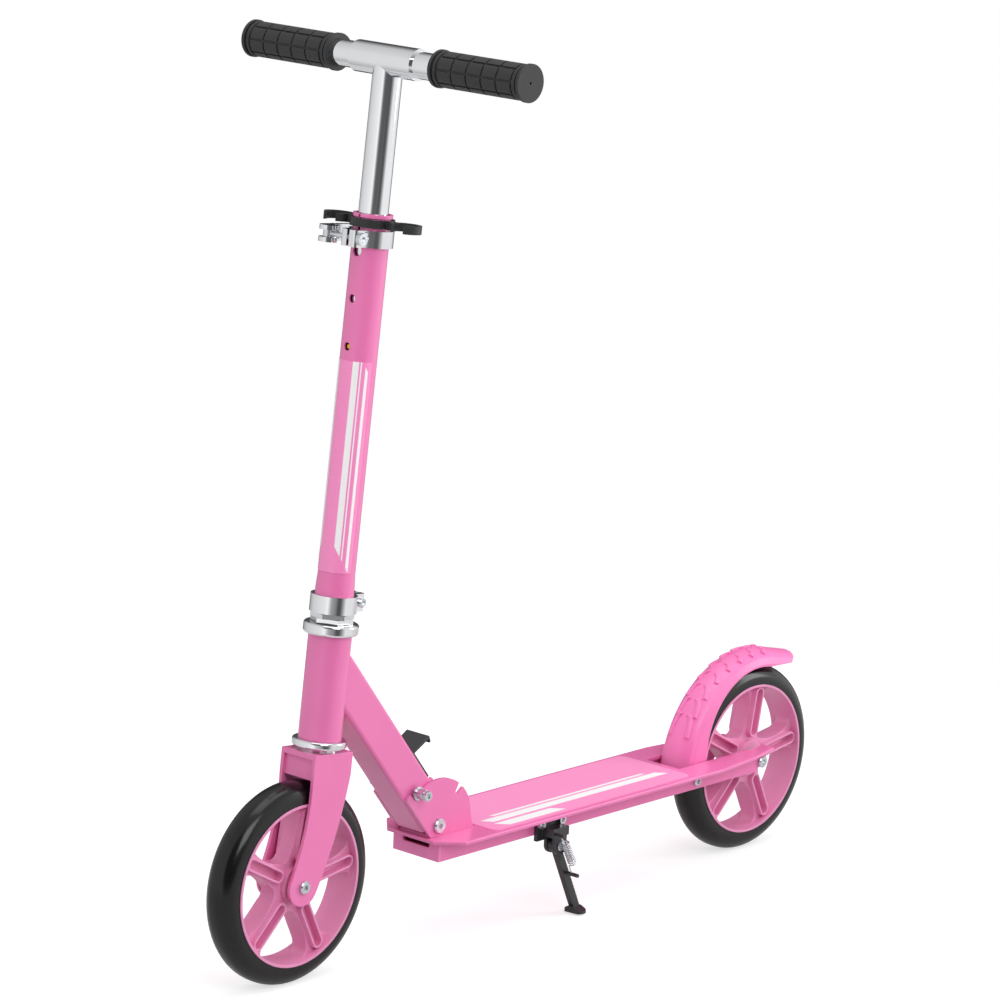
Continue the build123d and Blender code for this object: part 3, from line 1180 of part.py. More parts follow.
with BuildPart() as deck_sheet:
    with BuildSketch(Plane.XY.offset(DECK_TOP)):
        with Locations(((GRIP_SHEET_FRONT + grip_sheet_rear) / 2, 0)):
            RectangleRounded(
                grip_sheet_rear - GRIP_SHEET_FRONT, 2 * GRIP_SHEET_HALF_WIDTH, GRIP_SHEET_CORNER
            )
    extrude(amount=GRIP_SHEET_THICKNESS)
write(deck_sheet, "deck_sheet")

# Fold bracket on the deck: base and two notched side plates
notch_radius = LOCK_PIN_DIAMETER / 2 + NOTCH_PLAY
notch_floor = LOCK_REACH - LOCK_TRAVEL
with BuildPart() as fold_bracket:
    front_foot = -tube_back * BRACKET_FRONT_LINE
    foot_slide = (-PIVOT_RISE - front_foot.Z) / tube_up.Z
    foot_x = front_foot.X + tube_up.X * foot_slide
    horn_slide = math.sqrt(BRACKET_HORN_RADIUS**2 - BRACKET_FRONT_LINE**2)
    horn = front_foot + tube_up * horn_slide
    with BuildSketch(bracket_side.offset(BRACKET_GAP_HALF)):
        with BuildLine():
            horn_middle = (BRACKET_HORN_ANGLE + math.degrees(math.atan2(horn.Z, horn.X))) / 2
            horn_out = polar(BRACKET_HORN_RADIUS, BRACKET_HORN_ANGLE)
            horn_in = polar(BRACKET_RADIUS, BRACKET_HORN_ANGLE)
            rear_top = polar(BRACKET_RADIUS, BRACKET_REAR_ANGLE)
            Line((foot_x, -PIVOT_RISE), (horn.X, horn.Z))
            ThreePointArc(
                (horn.X, horn.Z),
                polar(BRACKET_HORN_RADIUS, horn_middle),
                horn_out,
            )
            Line(horn_out, horn_in)
            ThreePointArc(horn_in, polar(BRACKET_RADIUS, 90), rear_top)
            Line(rear_top, (BRACKET_REAR, -PIVOT_RISE))
            Line((BRACKET_REAR, -PIVOT_RISE), (foot_x, -PIVOT_RISE))
        make_face()
        for angle, floor, slope in (
            (lock_angle, notch_floor, 0.0),
            (lock_angle - FOLD_ANGLE, notch_floor - FOLDED_NOTCH_EXTRA, FOLDED_NOTCH_SLOPE),
        ):
            mouth = notch_radius + slope * (BRACKET_HORN_RADIUS + notch_radius - floor)
            with Locations(polar(floor, angle)):
                Circle(notch_radius, mode=Mode.SUBTRACT)
            with Locations(Location((0, 0, 0), (0, 0, angle))):
                Polygon(
                    (floor, -notch_radius),
                    (BRACKET_HORN_RADIUS + notch_radius, -mouth),
                    (BRACKET_HORN_RADIUS + notch_radius, mouth),
                    (floor, notch_radius),
                    align=None,
                    mode=Mode.SUBTRACT,
                )
        Circle(FOLD_BOLT_DIAMETER / 2 + SEAT_CLEARANCE, mode=Mode.SUBTRACT)
    extrude(amount=BRACKET_PLATE)
    mirror(about=Plane.XZ)
    with BuildSketch(Plane.XY.offset(DECK_TOP)):
        with Locations((PIVOT_X + foot_x, 0)):
            Rectangle(BRACKET_REAR - foot_x, 2 * bracket_outer_half, align=(Align.MIN, Align.CENTER))
    extrude(amount=BRACKET_BASE)
    with BuildSketch(Plane.XY.offset(DECK_TOP)):
        with Locations(*screw_spots):
            Circle(BRACKET_SCREW_DIAMETER / 2 + SEAT_CLEARANCE)
    extrude(amount=BRACKET_BASE, mode=Mode.SUBTRACT)
    with BuildSketch(Plane.XY.offset(DECK_TOP + BRACKET_BASE - BRACKET_SCREW_HEAD_HEIGHT)):
        with Locations(*screw_spots):
            Circle(BRACKET_SCREW_HEAD / 2 + SEAT_CLEARANCE)
    extrude(amount=BRACKET_SCREW_HEAD_HEIGHT, mode=Mode.SUBTRACT)
write(fold_bracket, "fold_bracket")

with BuildPart() as bracket_screws:
    with BuildSketch(Plane.XY.offset(deck_floor)):
        with Locations(*screw_spots):
            Circle(BRACKET_SCREW_DIAMETER / 2)
    extrude(amount=DECK_PLATE + BRACKET_BASE)
    with BuildSketch(Plane.XY.offset(DECK_TOP + BRACKET_BASE - BRACKET_SCREW_HEAD_HEIGHT)):
        with Locations(*screw_spots):
            Circle(BRACKET_SCREW_HEAD / 2)
    extrude(amount=BRACKET_SCREW_HEAD_HEIGHT)
    with BuildSketch(Plane.XY.offset(DECK_TOP + BRACKET_BASE)):
        with Locations(*screw_spots):
            RegularPolygon(BRACKET_SCREW_HEAD / 5, 6)
    extrude(amount=-BRACKET_SCREW_HEAD_HEIGHT * 0.7, mode=Mode.SUBTRACT)
write(bracket_screws, "bracket_screws")

fold_pivot = bolt_with_nut(
    bracket_side, bracket_outer_half, bracket_outer_half, FOLD_BOLT_DIAMETER, FOLD_BOLT_HEAD_DIAMETER,
    AXLE_HEAD_HEIGHT, FOLD_NUT_ACROSS, AXLE_NUT_HEIGHT,
)
write(fold_pivot, "fold_pivot_bolt")

# Kickstand
plate_face = BOX_HALF_WIDTH + STAND_PLATE
ear_inner = plate_face + STAND_EAR
ear_outer = ear_inner + STAND_EAR_GAP
bridge_end = ear_outer + STAND_EAR
stand_screws_at = [
    (STAND_PIVOT_X - STAND_SCREW_HALF, STAND_SCREW_Z),
    (STAND_PIVOT_X + STAND_SCREW_HALF, STAND_SCREW_Z),
]
with BuildPart() as stand_bracket:
    with BuildSketch(side_plane(-BOX_HALF_WIDTH)):
        with Locations((STAND_PIVOT_X, STAND_PLATE_TOP)):
            Rectangle(
                2 * STAND_PLATE_HALF, STAND_PLATE_TOP - STAND_PLATE_BOTTOM, align=(Align.CENTER, Align.MAX)
            )
    extrude(amount=STAND_PLATE)
    with BuildSketch(side_plane(-plate_face)):
        with Locations((STAND_PIVOT_X, STAND_BRIDGE_BOTTOM)):
            Rectangle(
                2 * STAND_BRIDGE_HALF, STAND_BRIDGE_TOP - STAND_BRIDGE_BOTTOM, align=(Align.CENTER, Align.MIN)
            )
    extrude(amount=bridge_end - plate_face)
    with BuildSketch(side_plane(-plate_face), side_plane(-ear_outer)):
        with Locations((STAND_PIVOT_X, STAND_PIVOT_Z)):
            Circle(STAND_EAR_RADIUS)
            Rectangle(
                2 * STAND_EAR_RADIUS, STAND_BRIDGE_TOP - STAND_PIVOT_Z, align=(Align.CENTER, Align.MIN)
            )
    extrude(amount=STAND_EAR)
    with BuildSketch(side_plane(-bridge_end)):
        with Locations((STAND_STUD_X, STAND_STUD_Z)):
            Circle(STUD_DIAMETER / 2)
    extrude(amount=STUD_END - bridge_end)
    with BuildSketch(side_plane(0)):
        with Locations((STAND_PIVOT_X, STAND_PIVOT_Z)):
            Circle(STAND_PIN_DIAMETER / 2 + SEAT_CLEARANCE)
    extrude(amount=bridge_end, mode=Mode.SUBTRACT)
    with BuildSketch(side_plane(-BOX_HALF_WIDTH)):
        with Locations(*stand_screws_at):
            Circle(STAND_SCREW_DIAMETER / 2 + SEAT_CLEARANCE)
    extrude(amount=STAND_PLATE, mode=Mode.SUBTRACT)
write(stand_bracket, "kickstand_bracket")

with BuildPart() as stand_screws:
    with BuildSketch(side_plane(-web_inner)):
        with Locations(*stand_screws_at):
            Circle(STAND_SCREW_DIAMETER / 2)
    extrude(amount=BOX_WALL + STAND_PLATE)
    with BuildSketch(side_plane(-plate_face)):
        with Locations(*stand_screws_at):
            Circle(STAND_SCREW_HEAD / 2)
    extrude(amount=STAND_SCREW_HEAD_HEIGHT)
    with BuildSketch(side_plane(-plate_face - STAND_SCREW_HEAD_HEIGHT)):
        with Locations(*stand_screws_at):
            RegularPolygon(STAND_SCREW_HEAD / 4, 6)
    extrude(amount=-SOCKET_DEPTH, mode=Mode.SUBTRACT)
write(stand_screws, "kickstand_screws")

with BuildPart() as stand_pin:
    with BuildSketch(side_plane(-plate_face)):
        with Locations((STAND_PIVOT_X, STAND_PIVOT_Z)):
            Circle(STAND_PIN_DIAMETER / 2)
    extrude(amount=bridge_end - plate_face)
    with BuildSketch(side_plane(-bridge_end)):
        with Locations((STAND_PIVOT_X, STAND_PIVOT_Z)):
            Circle(STAND_PIN_HEAD / 2)
    extrude(amount=STAND_PIN_HEAD_HEIGHT)
write(stand_pin, "kickstand_pivot_pin")

leg_inner = ear_inner + SIDE_PLAY
leg_outer = ear_outer - SIDE_PLAY
leg_way = Vector(STAND_FOOT_X - STAND_PIVOT_X, 0, STAND_ANKLE_Z - STAND_PIVOT_Z)
leg_length = leg_way.length
leg_way = leg_way.normalized()
leg_stud = Vector(STAND_PIVOT_X, 0, STAND_PIVOT_Z) + leg_way * LEG_STUD_REACH
leg_plane = Plane(
    origin=(STAND_PIVOT_X, -leg_inner, STAND_PIVOT_Z), x_dir=leg_way, z_dir=(0, -1, 0)
)
sole_lift = math.tan(math.radians(STAND_LEAN))
with BuildPart() as stand_foot:
    with BuildSketch(Plane(origin=(STAND_FOOT_X, 0, 0), x_dir=(0, 1, 0), z_dir=(1, 0, 0))):
        with BuildLine():
            Polyline(
                (-STAND_FOOT_INNER, STAND_FOOT_INNER * sole_lift),
                (-STAND_FOOT_OUTER, STAND_FOOT_OUTER * sole_lift),
                (-STAND_FOOT_OUTER, STAND_FOOT_OUTER * sole_lift + STAND_TOE_THICKNESS),
                (-leg_outer, leg_outer * sole_lift + STAND_ANKLE_THICKNESS),
                (-leg_inner, leg_inner * sole_lift + STAND_ANKLE_THICKNESS),
                (-STAND_FOOT_INNER, STAND_FOOT_INNER * sole_lift + STAND_FOOT_THICKNESS),
                close=True,
            )
        make_face()
    extrude(amount=STAND_FOOT_LENGTH / 2, both=True)
    with BuildSketch():
        with Locations((STAND_FOOT_X, -(STAND_FOOT_INNER + STAND_FOOT_OUTER) / 2)):
            RectangleRounded(STAND_FOOT_LENGTH, STAND_FOOT_OUTER - STAND_FOOT_INNER, STAND_FOOT_CORNER)
    extrude(amount=STAND_PIVOT_Z, mode=Mode.INTERSECT)

with BuildPart() as stand_leg:
    with BuildSketch(leg_plane):
        Circle(STAND_EYE_RADIUS)
        Rectangle(leg_length, STAND_LEG_WIDTH, align=(Align.MIN, Align.CENTER))
    extrude(amount=leg_outer - leg_inner)
    add(stand_foot.part)
    with BuildSketch(side_plane(-leg_outer)):
        with Locations((leg_stud.X, leg_stud.Z)):
            Circle(STUD_DIAMETER / 2)
    extrude(amount=STUD_END - leg_outer)
    with BuildSketch(leg_plane):
        Circle(STAND_PIN_DIAMETER / 2 + RUNNING_CLEARANCE)
    extrude(amount=leg_outer - leg_inner, mode=Mode.SUBTRACT)
write(stand_leg, "kickstand_leg")

# Kickstand spring: one wire from stud to stud, with straight tails on its side
spring_y = -(bridge_end + STUD_END) / 2
stud_start = Vector(STAND_STUD_X, spring_y, STAND_STUD_Z)
stud_end = Vector(leg_stud.X, spring_y, leg_stud.Z)
spring_rise = math.atan(STAND_SPRING_PITCH / (2 * math.pi * STAND_SPRING_RADIUS))
tail_shift = STAND_SPRING_BEND * (1 - math.sin(spring_rise))
bend_height = STAND_SPRING_BEND * math.cos(spring_rise)
coil_height = STAND_SPRING_PITCH * STAND_SPRING_TURNS
stud_span = stud_end - stud_start
spring_way = stud_span.normalized()
spring_frame_x = Vector(0, 1, 0).cross(spring_way)
spring_lead = (stud_span.length - coil_height) / 2
spring_origin = stud_start + spring_way * spring_lead - spring_frame_x * STAND_SPRING_RADIUS
spring_frame = Plane(origin=spring_origin, x_dir=spring_frame_x, z_dir=spring_way)
stand_points = coil_points(spring_frame, STAND_SPRING_RADIUS, STAND_SPRING_PITCH, STAND_SPRING_TURNS)
stud_gap = STUD_DIAMETER / 2 + RUNNING_CLEARANCE
tail_length = spring_lead - stud_gap
with BuildPart() as stand_spring:
    with BuildLine() as stand_path:
        first_bend = spring_frame.from_local_coords(Vector(STAND_SPRING_RADIUS, -tail_shift, -bend_height))
        last_bend = spring_frame.from_local_coords(
            Vector(STAND_SPRING_RADIUS, tail_shift, coil_height + bend_height)
        )
        Line(first_bend - spring_way * (tail_length - bend_height), first_bend)
        TangentArc(first_bend, stand_points[0][0], tangent=spring_way)
        coil_arcs(stand_points)
        TangentArc(stand_points[-1][0], last_bend, tangent=stand_points[-1][1])
        Line(last_bend, last_bend + spring_way * (tail_length - bend_height))
    with BuildSketch(Plane(origin=stand_path.wire() @ 0, z_dir=spring_way)):
        Circle(STAND_SPRING_WIRE / 2)
    sweep(path=stand_path.wire())
write(stand_spring, "kickstand_spring")
stand_turn = 2 * math.pi * STAND_SPRING_RADIUS
print("kickstand spring gap", least_gap(stand_path.wire(), STAND_SPRING_WIRE, stand_turn))

# Brake fender over the rear wheel, hinged between the deck arms
brake_side = Plane(origin=(brake_pivot_x, 0, BRAKE_PIVOT_Z), x_dir=(1, 0, 0), z_dir=(0, -1, 0))


def over_tyre(spot):
    """Point in the rear wheel's plane from an angle about its axle and a height over the tyre."""
    reach = polar(wheel_radius + spot[1], spot[0])
    return rear_centre + Vector(reach[0], 0, reach[1])


with BuildPart() as fender:
    with BuildLine() as ridge:
        front = ThreePointArc(over_tyre(FENDER_BASE), over_tyre(FENDER_WAIST), over_tyre(FENDER_SHOULDER))
        top = TangentArc(front @ 1, over_tyre(FENDER_TAIL_ROOT), tangent=front % 1)
        tail_root = top @ 1
        tail_way = top % 1
        Line(tail_root, tail_root + tail_way * FENDER_TAIL_LENGTH)
    skirt_inner = FENDER_HALF_WIDTH - FENDER_SKIRT
    crease_inner = FENDER_CREASE_HALF - FENDER_SKIRT
    inner_crease_drop = FENDER_DOME + FENDER_WALL / 2
    with BuildSketch(Plane(origin=front @ 0, x_dir=(0, 1, 0), z_dir=front % 0)):
        with BuildLine():
            Polyline(
                (FENDER_CREASE_HALF, -FENDER_DOME),
                (FENDER_HALF_WIDTH, -FENDER_SIDE_DROP),
                (FENDER_HALF_WIDTH, -FENDER_SKIRT_DEPTH),
                (skirt_inner, -FENDER_SKIRT_DEPTH),
                (skirt_inner, -FENDER_SIDE_DROP),
                (crease_inner, -inner_crease_drop),
            )
            ThreePointArc(
                (crease_inner, -inner_crease_drop), (0, -FENDER_WALL), (-crease_inner, -inner_crease_drop)
            )
            Polyline(
                (-crease_inner, -inner_crease_drop),
                (-skirt_inner, -FENDER_SIDE_DROP),
                (-skirt_inner, -FENDER_SKIRT_DEPTH),
                (-FENDER_HALF_WIDTH, -FENDER_SKIRT_DEPTH),
                (-FENDER_HALF_WIDTH, -FENDER_SIDE_DROP),
                (-FENDER_CREASE_HALF, -FENDER_DOME),
            )
            ThreePointArc(
                (-FENDER_CREASE_HALF, -FENDER_DOME), (0, 0), (FENDER_CREASE_HALF, -FENDER_DOME)
            )
        make_face()
    sweep(path=ridge.wire())
    with BuildSketch(Plane.XZ):
        with Locations((rear_centre.X + FENDER_SKIRT_SHIFT[0], rear_centre.Z + FENDER_SKIRT_SHIFT[1])):
            Circle(wheel_radius - FENDER_SKIRT_INSET)
    extrude(amount=FENDER_HALF_WIDTH + CUT_PAST, both=True, mode=Mode.SUBTRACT)
    with BuildSketch(Plane(origin=tail_root, x_dir=tail_way, z_dir=(0, -1, 0))):
        with BuildLine():
            Polyline(
                (-FENDER_EDGE_LEAD, -FENDER_EDGE_DEPTH),
                (FENDER_TAIL_LENGTH, -FENDER_TIP_DEPTH),
                (FENDER_TAIL_LENGTH, -FENDER_SKIRT_DEPTH - CUT_PAST),
                (-FENDER_EDGE_LEAD, -FENDER_SKIRT_DEPTH - CUT_PAST),
                close=True,
            )
        make_face()
    extrude(amount=FENDER_HALF_WIDTH + CUT_PAST, both=True, mode=Mode.SUBTRACT)
    with BuildSketch(Plane(origin=tail_root, x_dir=tail_way, z_dir=tail_way.cross(Vector(0, 1, 0)))):
        for side in (-1, 1):
            corner_y = side * (FENDER_HALF_WIDTH - FENDER_TAIL_CORNER / 2)
            with Locations((FENDER_TAIL_LENGTH - FENDER_TAIL_CORNER / 2, corner_y)):
                Rectangle(FENDER_TAIL_CORNER, FENDER_TAIL_CORNER)
        for side in (-1, 1):
            round_y = side * (FENDER_HALF_WIDTH - FENDER_TAIL_CORNER)
            with Locations((FENDER_TAIL_LENGTH - FENDER_TAIL_CORNER, round_y)):
                Circle(FENDER_TAIL_CORNER, mode=Mode.SUBTRACT)
    extrude(amount=FENDER_SKIRT_DEPTH, both=True, mode=Mode.SUBTRACT)
    with BuildSketch(Plane.XY.offset(rear_centre.Z + wheel_radius + SHOE_GAP)):
        with Locations((rear_centre.X, 0)):
            Rectangle(SHOE_LENGTH, SHOE_WIDTH)
    extrude(until=Until.NEXT, mode=Mode.ADD)
    with BuildSketch(brake_side):
        Circle(BRAKE_BOSS_DIAMETER / 2)
    extrude(amount=FENDER_HALF_WIDTH, both=True)
    with BuildSketch(brake_side):
        Circle(BRAKE_BOLT_DIAMETER / 2 + RUNNING_CLEARANCE)
    extrude(amount=FENDER_HALF_WIDTH, both=True, mode=Mode.SUBTRACT)
write(fender, "brake_fender")

brake_pivot = bolt_with_nut(
    brake_side, BOX_HALF_WIDTH, BOX_HALF_WIDTH, BRAKE_BOLT_DIAMETER, BRAKE_BOLT_HEAD, AXLE_HEAD_HEIGHT,
    BRAKE_NUT_ACROSS, BRAKE_NUT_HEIGHT,
)
write(brake_pivot, "brake_pivot_bolt")

with BuildPart() as brake_spacers:
    spacer_inner = FENDER_HALF_WIDTH + SIDE_PLAY
    with BuildSketch(brake_side.offset(spacer_inner), brake_side.offset(-web_inner)):
        Circle(BRAKE_BOLT_DIAMETER / 2 + BRAKE_SPACER_WALL)
        Circle(BRAKE_BOLT_DIAMETER / 2 + SEAT_CLEARANCE, mode=Mode.SUBTRACT)
    extrude(amount=web_inner - spacer_inner)
write(brake_spacers, "brake_pivot_spacers")

# Brake return spring round the left pivot spacer, with straight arms
brake_coil_height = BRAKE_SPRING_PITCH * BRAKE_SPRING_TURNS
brake_spring_start = (FENDER_HALF_WIDTH + SIDE_PLAY + web_inner - brake_coil_height) / 2
brake_spring_frame = Plane(
    origin=(brake_pivot_x, -brake_spring_start, BRAKE_PIVOT_Z), x_dir=(0, 0, 1), z_dir=(0, -1, 0)
)
brake_points = coil_points(brake_spring_frame, BRAKE_SPRING_RADIUS, BRAKE_SPRING_PITCH, BRAKE_SPRING_TURNS)
with BuildPart() as brake_spring:
    with BuildLine() as brake_path:
        Line(brake_points[0][0] - brake_points[0][1] * BRAKE_SPRING_TAIL, brake_points[0][0])
        coil_arcs(brake_points)
        Line(brake_points[-1][0], brake_points[-1][0] + brake_points[-1][1] * BRAKE_SPRING_TAIL)
    with BuildSketch(Plane(origin=brake_path.wire() @ 0, z_dir=brake_points[0][1])):
        Circle(BRAKE_SPRING_WIRE / 2)
    sweep(path=brake_path.wire())
write(brake_spring, "brake_spring")
print("brake spring gap", least_gap(brake_path.wire(), BRAKE_SPRING_WIRE, 2 * math.pi * BRAKE_SPRING_RADIUS))
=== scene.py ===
import bpy
import json
import math
from collections import namedtuple
from mathutils import Matrix, Vector


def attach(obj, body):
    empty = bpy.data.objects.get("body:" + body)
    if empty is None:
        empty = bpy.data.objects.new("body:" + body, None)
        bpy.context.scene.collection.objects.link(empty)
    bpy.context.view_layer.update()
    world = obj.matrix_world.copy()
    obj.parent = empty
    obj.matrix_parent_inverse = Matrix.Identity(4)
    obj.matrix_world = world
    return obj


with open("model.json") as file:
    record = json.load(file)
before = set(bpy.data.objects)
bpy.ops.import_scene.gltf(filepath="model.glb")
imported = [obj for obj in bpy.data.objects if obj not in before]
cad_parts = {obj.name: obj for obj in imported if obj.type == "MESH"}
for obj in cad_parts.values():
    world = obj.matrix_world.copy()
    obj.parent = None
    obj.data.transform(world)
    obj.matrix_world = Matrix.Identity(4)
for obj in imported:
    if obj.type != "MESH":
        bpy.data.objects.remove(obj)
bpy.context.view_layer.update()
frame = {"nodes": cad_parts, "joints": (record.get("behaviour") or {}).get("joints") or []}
nodes = frame["nodes"]
joints = {joint["name"]: joint for joint in frame["joints"]}
scene = bpy.context.scene

# Places and sizes of the solids that the prints and the pads follow, in metres and radians
MM = 0.001
FRONT_AXLE = Vector(joints["front_wheel_spin"]["pos_m"])
REAR_AXLE = Vector(joints["rear_wheel_spin"]["pos_m"])
WHEEL_PLANE = (1.0, 0.0, 1.0)  # keeps the part of a vector that lies in the wheels' plane
TYRE_RADIUS = 100 * MM
COLUMN = Vector(joints["steering"]["axis"])
STEERING_POINT_HEIGHT = 200 * MM  # of the steering joint's place, up the column from its foot
COLUMN_FOOT = Vector(joints["steering"]["pos_m"]) - COLUMN * STEERING_POINT_HEIGHT
RAKE = math.atan2(COLUMN.x, COLUMN.z)
STEM_RADIUS = 17.8 * MM
STEM_SHEET_LOW, STEM_SHEET_HIGH = 302 * MM, 504 * MM  # up the column from its foot

# Points of the fender's ridge: degrees about the rear axle, mm over the tyre
FENDER_BASE = (181.5, 16.0)
FENDER_WAIST = (141.0, 12.3)
FENDER_SHOULDER = (111.1, 13.7)
FENDER_TAIL_ROOT = (74.2, 17.7)
FENDER_CREASE_HALF = 18.5 * MM  # across, from the ridge to the crease
FENDER_DOME = 7.5 * MM  # from the crease up to the ridge
FENDER_BOW = (FENDER_CREASE_HALF ** 2 + FENDER_DOME ** 2) / (2 * FENDER_DOME)  # the dome's radius across


def linear(code):
    """Linear colour of an sRGB hex code."""
    parts = [int(code[i:i + 2], 16) / 255 for i in (1, 3, 5)]
    return [p / 12.92 if p <= 0.04045 else ((p + 0.055) / 1.055) ** 2.4 for p in parts] + [1.0]


def add(tree, kind, inputs=None, **settings):
    """Adds a node with its settings, and gives each named input a value or a link."""
    node = tree.nodes.new(kind)
    for key, value in settings.items():
        setattr(node, key, value)
    for key, value in (inputs or {}).items():
        if isinstance(value, bpy.types.NodeSocket):
            tree.links.new(value, node.inputs[key])
        else:
            node.inputs[key].default_value = value
    return node


# Finishes

# A coated finish with its parts: tone and skin are the sockets of its colour, painted edge highlight
# included, and of its surface normal.
Coat = namedtuple("Coat", "finish tree shader place tone skin")
EDGE_FLAT, EDGE_SHARP = 0.995, 0.8  # cosines between a face and its rounded normal
EDGE_HIGHLIGHT_SHARE = 0.75  # of the paler painted highlight tone where the edge is sharp
EDGE_SAMPLES = 6
GRAIN_LOW, GRAIN_HIGH = 0.3, 0.7  # where most of a noise lies
MARKS_LOW, MARKS_HIGH = 0.1, 0.45  # where most of the product of two noises lies


def start_finish(name, shader_values):
    """A new material with its shader and the piece's own coordinates."""
    finish = bpy.data.materials.new(name)
    finish.use_nodes = True
    tree = finish.node_tree
    tree.nodes.clear()
    shader = add(tree, "ShaderNodeBsdfPrincipled", shader_values)
    add(tree, "ShaderNodeOutputMaterial", {"Surface": shader.outputs[0]})
    place = add(tree, "ShaderNodeTexCoord").outputs["Object"]
    return finish, tree, shader, place


def coated_finish(name, *, tones, cloud_mm, grain_mm, grain_depth_mm, rough, edge_mm, edge_highlight_tone,
                  shader_values):
    """Paint, plastic or rubber: drifting tone, fine skin, and rounded edges with a paler painted highlight.
    """
    finish, tree, shader, place = start_finish(name, shader_values)
    cloud = add(tree, "ShaderNodeTexNoise", {"Vector": place, "Scale": 1 / (cloud_mm * MM), "Detail": 3.0})
    drift = add(tree, "ShaderNodeMix", {0: cloud.outputs[0], 6: linear(tones[0]), 7: linear(tones[1])},
                data_type="RGBA")
    # Painted highlight: where the rounded normal bends away from the face, the colour is mixed towards the
    # paler edge tone.
    rounded = add(tree, "ShaderNodeBevel", {"Radius": edge_mm * MM}, samples=EDGE_SAMPLES)
    facing = add(tree, "ShaderNodeNewGeometry").outputs["Normal"]
    bend = add(tree, "ShaderNodeVectorMath", {0: rounded.outputs[0], 1: facing}, operation="DOT_PRODUCT")
    edge = add(tree, "ShaderNodeMapRange",
               {0: bend.outputs["Value"], 1: EDGE_FLAT, 2: EDGE_SHARP, 3: 0.0, 4: EDGE_HIGHLIGHT_SHARE})
    edge_highlighted = add(tree, "ShaderNodeMix", {0: edge.outputs[0], 6: drift.outputs[2], 7: linear(edge_highlight_tone)},
               data_type="RGBA")
    tree.links.new(edge_highlighted.outputs[2], shader.inputs["Base Color"])
    grain = add(tree, "ShaderNodeTexNoise", {"Vector": place, "Scale": 1 / (grain_mm * MM), "Detail": 2.0})
    gloss = add(tree, "ShaderNodeMapRange",
                {0: grain.outputs[0], 1: GRAIN_LOW, 2: GRAIN_HIGH, 3: rough[0], 4: rough[1]})
    tree.links.new(gloss.outputs[0], shader.inputs["Roughness"])
    skin = add(tree, "ShaderNodeBump", {"Height": grain.outputs[0], "Distance": grain_depth_mm * MM,
                                        "Strength": 1.0, "Normal": rounded.outputs[0]})
    tree.links.new(skin.outputs[0], shader.inputs["Normal"])
    return Coat(finish, tree, shader, place, edge_highlighted.outputs[2], skin.outputs[0])


def metal_finish(name, *, tones, cloud_mm, mark_mm, rough):
    """Bare or plated metal: faint clouds in its tone and gloss, and fine handling marks."""
    finish, tree, shader, place = start_finish(name, {"Metallic": 1.0})
    cloud = add(tree, "ShaderNodeTexNoise", {"Vector": place, "Scale": 1 / (cloud_mm * MM), "Detail": 4.0})
    drift = add(tree, "ShaderNodeMix", {0: cloud.outputs[0], 6: linear(tones[0]), 7: linear(tones[1])},
                data_type="RGBA")
    tree.links.new(drift.outputs[2], shader.inputs["Base Color"])
    marks = add(tree, "ShaderNodeTexNoise", {"Vector": place, "Scale": 1 / (mark_mm * MM), "Detail": 5.0,
                                             "Roughness": 0.7})
    blend = add(tree, "ShaderNodeMath", {0: cloud.outputs[0], 1: marks.outputs[0]}, operation="MULTIPLY")
    gloss = add(tree, "ShaderNodeMapRange",
                {0: blend.outputs[0], 1: MARKS_LOW, 2: MARKS_HIGH, 3: rough[0], 4: rough[1]})
    tree.links.new(gloss.outputs[0], shader.inputs["Roughness"])
    return finish


# Each finish's edge tone is a paler painted highlight on its rounded edges.
# Powder coat on aluminium: a baked skin with an even satin gloss and the faint waves of orange peel.
powder_coat = coated_finish(
    "pink_powder_coat", tones=("#EC73B1", "#F47FBB"), cloud_mm=60, grain_mm=1.8, grain_depth_mm=0.012,
    rough=(0.30, 0.38), edge_mm=1.0, edge_highlight_tone="#F79CCD",
    shader_values={"IOR": 1.5, "Coat Weight": 0.3, "Coat Roughness": 0.12}).finish
# The same coat on the die-cast front cap, a little flatter.
cast_coat = coated_finish(
    "pink_cast_coat", tones=("#F884C1", "#FF90CB"), cloud_mm=40, grain_mm=1.2, grain_depth_mm=0.02,
    rough=(0.36, 0.44), edge_mm=0.8, edge_highlight_tone="#F3A0CC", shader_values={"IOR": 1.5}).finish
# Moulded nylon of the rims and the fender: soft gloss from a lightly polished mould.
rim_nylon = coated_finish(
    "pink_moulded_nylon", tones=("#E88EBC", "#EF99C5"), cloud_mm=35, grain_mm=0.9, grain_depth_mm=0.015,
    rough=(0.34, 0.42), edge_mm=1.2, edge_highlight_tone="#F5A6D2", shader_values={"IOR": 1.53}).finish
fender_nylon = coated_finish(
    "pink_fender_nylon", tones=("#F879BC", "#FF86C6"), cloud_mm=50, grain_mm=0.9, grain_depth_mm=0.012,
    rough=(0.30, 0.38), edge_mm=1.2, edge_highlight_tone="#FF9FD2", shader_values={"IOR": 1.53}).finish
# Glass-filled nylon, black: fine spark-eroded grain.
black_nylon = coated_finish(
    "black_filled_nylon", tones=("#161718", "#1F2022"), cloud_mm=25, grain_mm=0.8, grain_depth_mm=0.03,
    rough=(0.40, 0.52), edge_mm=0.6, edge_highlight_tone="#4A4B4E", shader_values={"IOR": 1.53}).finish
# Electrocoated steel: thin black film, slightly glossy, with a paler painted highlight at its edges.
black_steel = coated_finish(
    "black_electrocoat", tones=("#242527", "#2F3033"), cloud_mm=30, grain_mm=1.0, grain_depth_mm=0.015,
    rough=(0.34, 0.46), edge_mm=0.6, edge_highlight_tone="#5A5B5E",
    shader_values={"IOR": 1.5, "Coat Weight": 0.15, "Coat Roughness": 0.2}).finish
